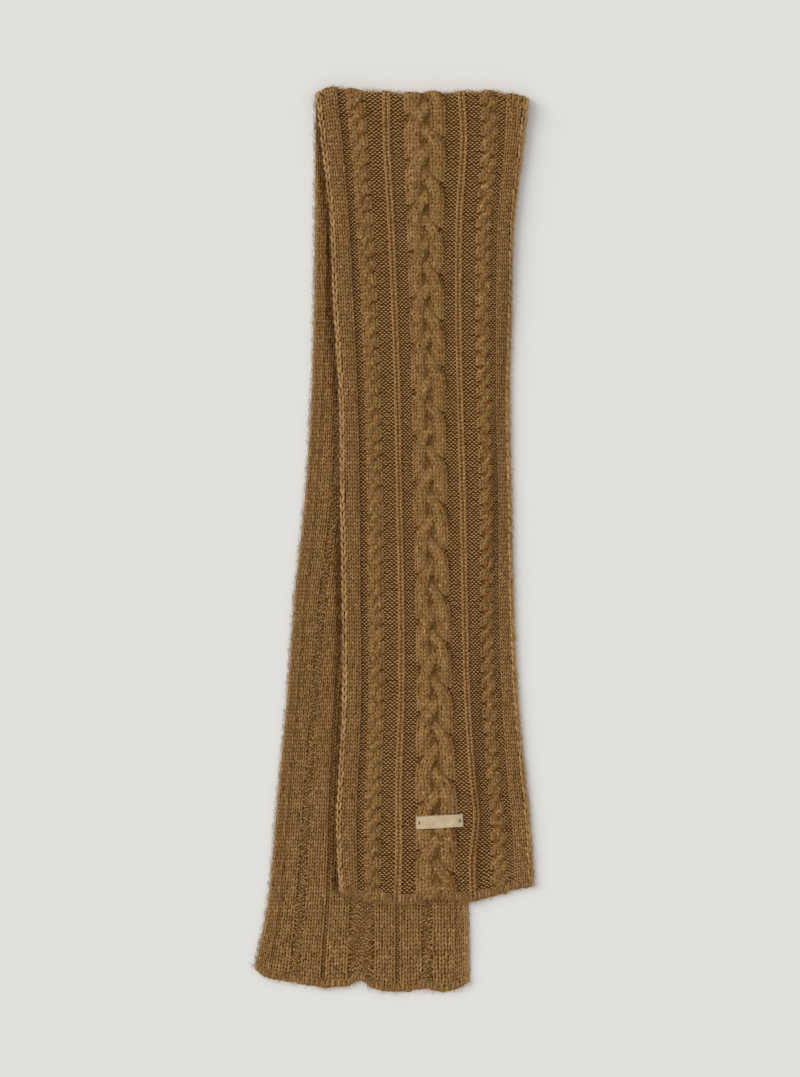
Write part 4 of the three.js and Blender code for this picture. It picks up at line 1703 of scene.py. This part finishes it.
    def naps(self) -> list[bpy.types.Object]:
        """Scatters the nap over both tails, thickest along their rims and hems."""
        fuzz = Fuzz(self.rng)
        tufts = Fuzz(self.rng, shortest=3.0, longest=7.0, thickness=0.2)
        rng = self.rng
        front, back = Skin(), Skin()
        for band in CHART:
            strand = strand_of(band, Side.RIGHT)
            many = int(self.nap_density[band.kind] * band.stitches)
            which = rng.integers(0, strand.strands, many)
            across = rng.uniform(-0.5, 0.5, many) * strand.stitches
            row = rng.uniform(-2, FRONT_ROWS, many)
            wale, height = strand.lay(which, across, row)
            top = strand.shown(which, row)
            hairs, brushed, stand = (tufts, 0.3, 0.3) if strand.strands > 1 else (fuzz, 0.6, 0.5)
            hairs.hairs(front, FRONT, wale[top], row[top], height[top] - 0.3, brushed, stand)
        for edge in (-0.3, WALES + 0.3):
            self.rim_nap(front, FRONT, edge, -2, self.rim_hairs)
        self.hem_nap(front, FRONT, (FRONT_ROWS - 1.0, FRONT_ROWS), self.hem_hairs)
        self.hem_nap(front, FRONT, (-3.0, -1.0), self.hem_hairs // 2)
        wale = rng.uniform(0, WALES, self.back_hairs)
        row = rng.uniform(0, BACK_ROWS, self.back_hairs)
        shown = self.back_shows(wale, row)
        wale, row = wale[shown], row[shown]
        fuzz.hairs(back, BACK, wale, row, rng.uniform(-0.2, 0.7, len(row)), 0.6)
        self.rim_nap(back, BACK, -0.3, 0, self.rim_hairs)
        self.rim_nap(back, BACK, WALES + 0.3, FRONT_ROWS - 2, self.rim_hairs // 7)
        self.hem_nap(back, BACK, (BACK_ROWS - 1.0, BACK_ROWS), self.hem_hairs)
        return [
            self.yarn_piece("front_nap", front, self.nap_material),
            self.yarn_piece("back_nap", back, self.nap_material),
        ]

    def build(self) -> None:
        """Makes every piece of the scarf."""
        front_skin = ground_skin(FRONT, -FOLD_ROWS, FRONT_ROWS - 0.3)
        front_ground = self.ground_piece("front_ground", front_skin, "front_tail", "fold")
        back_skin = ground_skin(BACK, 0, BACK_ROWS - 0.3)
        back_ground = self.ground_piece("back_ground", back_skin, "back_tail")
        front_yarn = self.front()
        back_yarn = self.back()
        front_nap, back_nap = self.naps()


@dataclass
class Studio:
    """The pale floor, the soft lights and the camera straight above."""

    floor: StudioPaper = StudioPaper("pale_studio_paper", "#ecebe7")
    half_floor: float = 2400.0
    camera_height: float = 2400.0
    frame_width: float = 850.1  # the photo's width at the table
    frame_height: float = 1144.4
    middle_x: float = 8.5
    middle_y: float = 3.5
    key_strength: float = 1.75
    key_width: float = 45.0
    key_height: float = 33.0
    key_heading: float = 160.0
    fill_strength: float = 0.66

    def build_floor(self) -> None:
        """A large level sheet just under the scarf."""
        half = self.half_floor
        corners = np.array([(-half, -half), (half, -half), (half, half), (-half, half)], float)
        points = np.column_stack([corners, np.full(4, -0.1)])
        skin = Skin()
        skin.add(points, [np.array([[0, 1, 2, 3]])], corners, np.zeros(4))
        floor = put_mesh("studio_floor", skin, "paper", self.floor.material())

    def build_key(self) -> None:
        """A wide, distant soft box on the left, a little above the top: even over the whole floor."""
        data = bpy.data.lights.new("key_light", "SUN")
        data.energy = self.key_strength
        data.angle = np.radians(self.key_width)
        light = bpy.data.objects.new("key_light", data)
        light.rotation_euler = (0.0, np.radians(90 - self.key_height), np.radians(self.key_heading))
        light.location = (-1.0, 0.4, 1.0)
        bpy.context.scene.collection.objects.link(light)

    def build_world(self) -> None:
        """Pale, even fill light from all round."""
        world = bpy.data.worlds.new("studio_fill")
        world.use_nodes = True
        background = world.node_tree.nodes["Background"]
        background.inputs["Color"].default_value = linear("#f4f4f2")
        background.inputs["Strength"].default_value = self.fill_strength
        bpy.context.scene.world = world

    def build_camera(self) -> None:
        """The camera looks straight down, with +Y up the picture, as the photo was taken."""
        data = bpy.data.cameras.new("camera")
        data.sensor_fit = "VERTICAL"
        data.sensor_height = 36.0
        data.lens = data.sensor_height * self.camera_height / self.frame_height
        data.clip_end = 20.0
        camera = bpy.data.objects.new("camera", data)
        shift = row_frame_shift()
        middle = np.array([self.middle_x + shift[0], self.middle_y + shift[1], self.camera_height])
        camera.location = tuple(middle * MM)
        bpy.context.scene.collection.objects.link(camera)
        bpy.context.scene.camera = camera

    def build(self) -> None:
        """Makes the floor, the lights, the fill and the camera."""
        self.build_floor()
        self.build_world()
        self.build_key()
        self.build_camera()
        bpy.context.scene.view_settings.view_transform = "Standard"


def main() -> None:
    """Builds the scarf, its label and the studio, in order."""
    logging.basicConfig(level=logging.INFO, format="%(name)s: %(message)s")
    Scarf().build()
    Label().build()
    Studio().build()


if __name__ == "__main__":
    main()
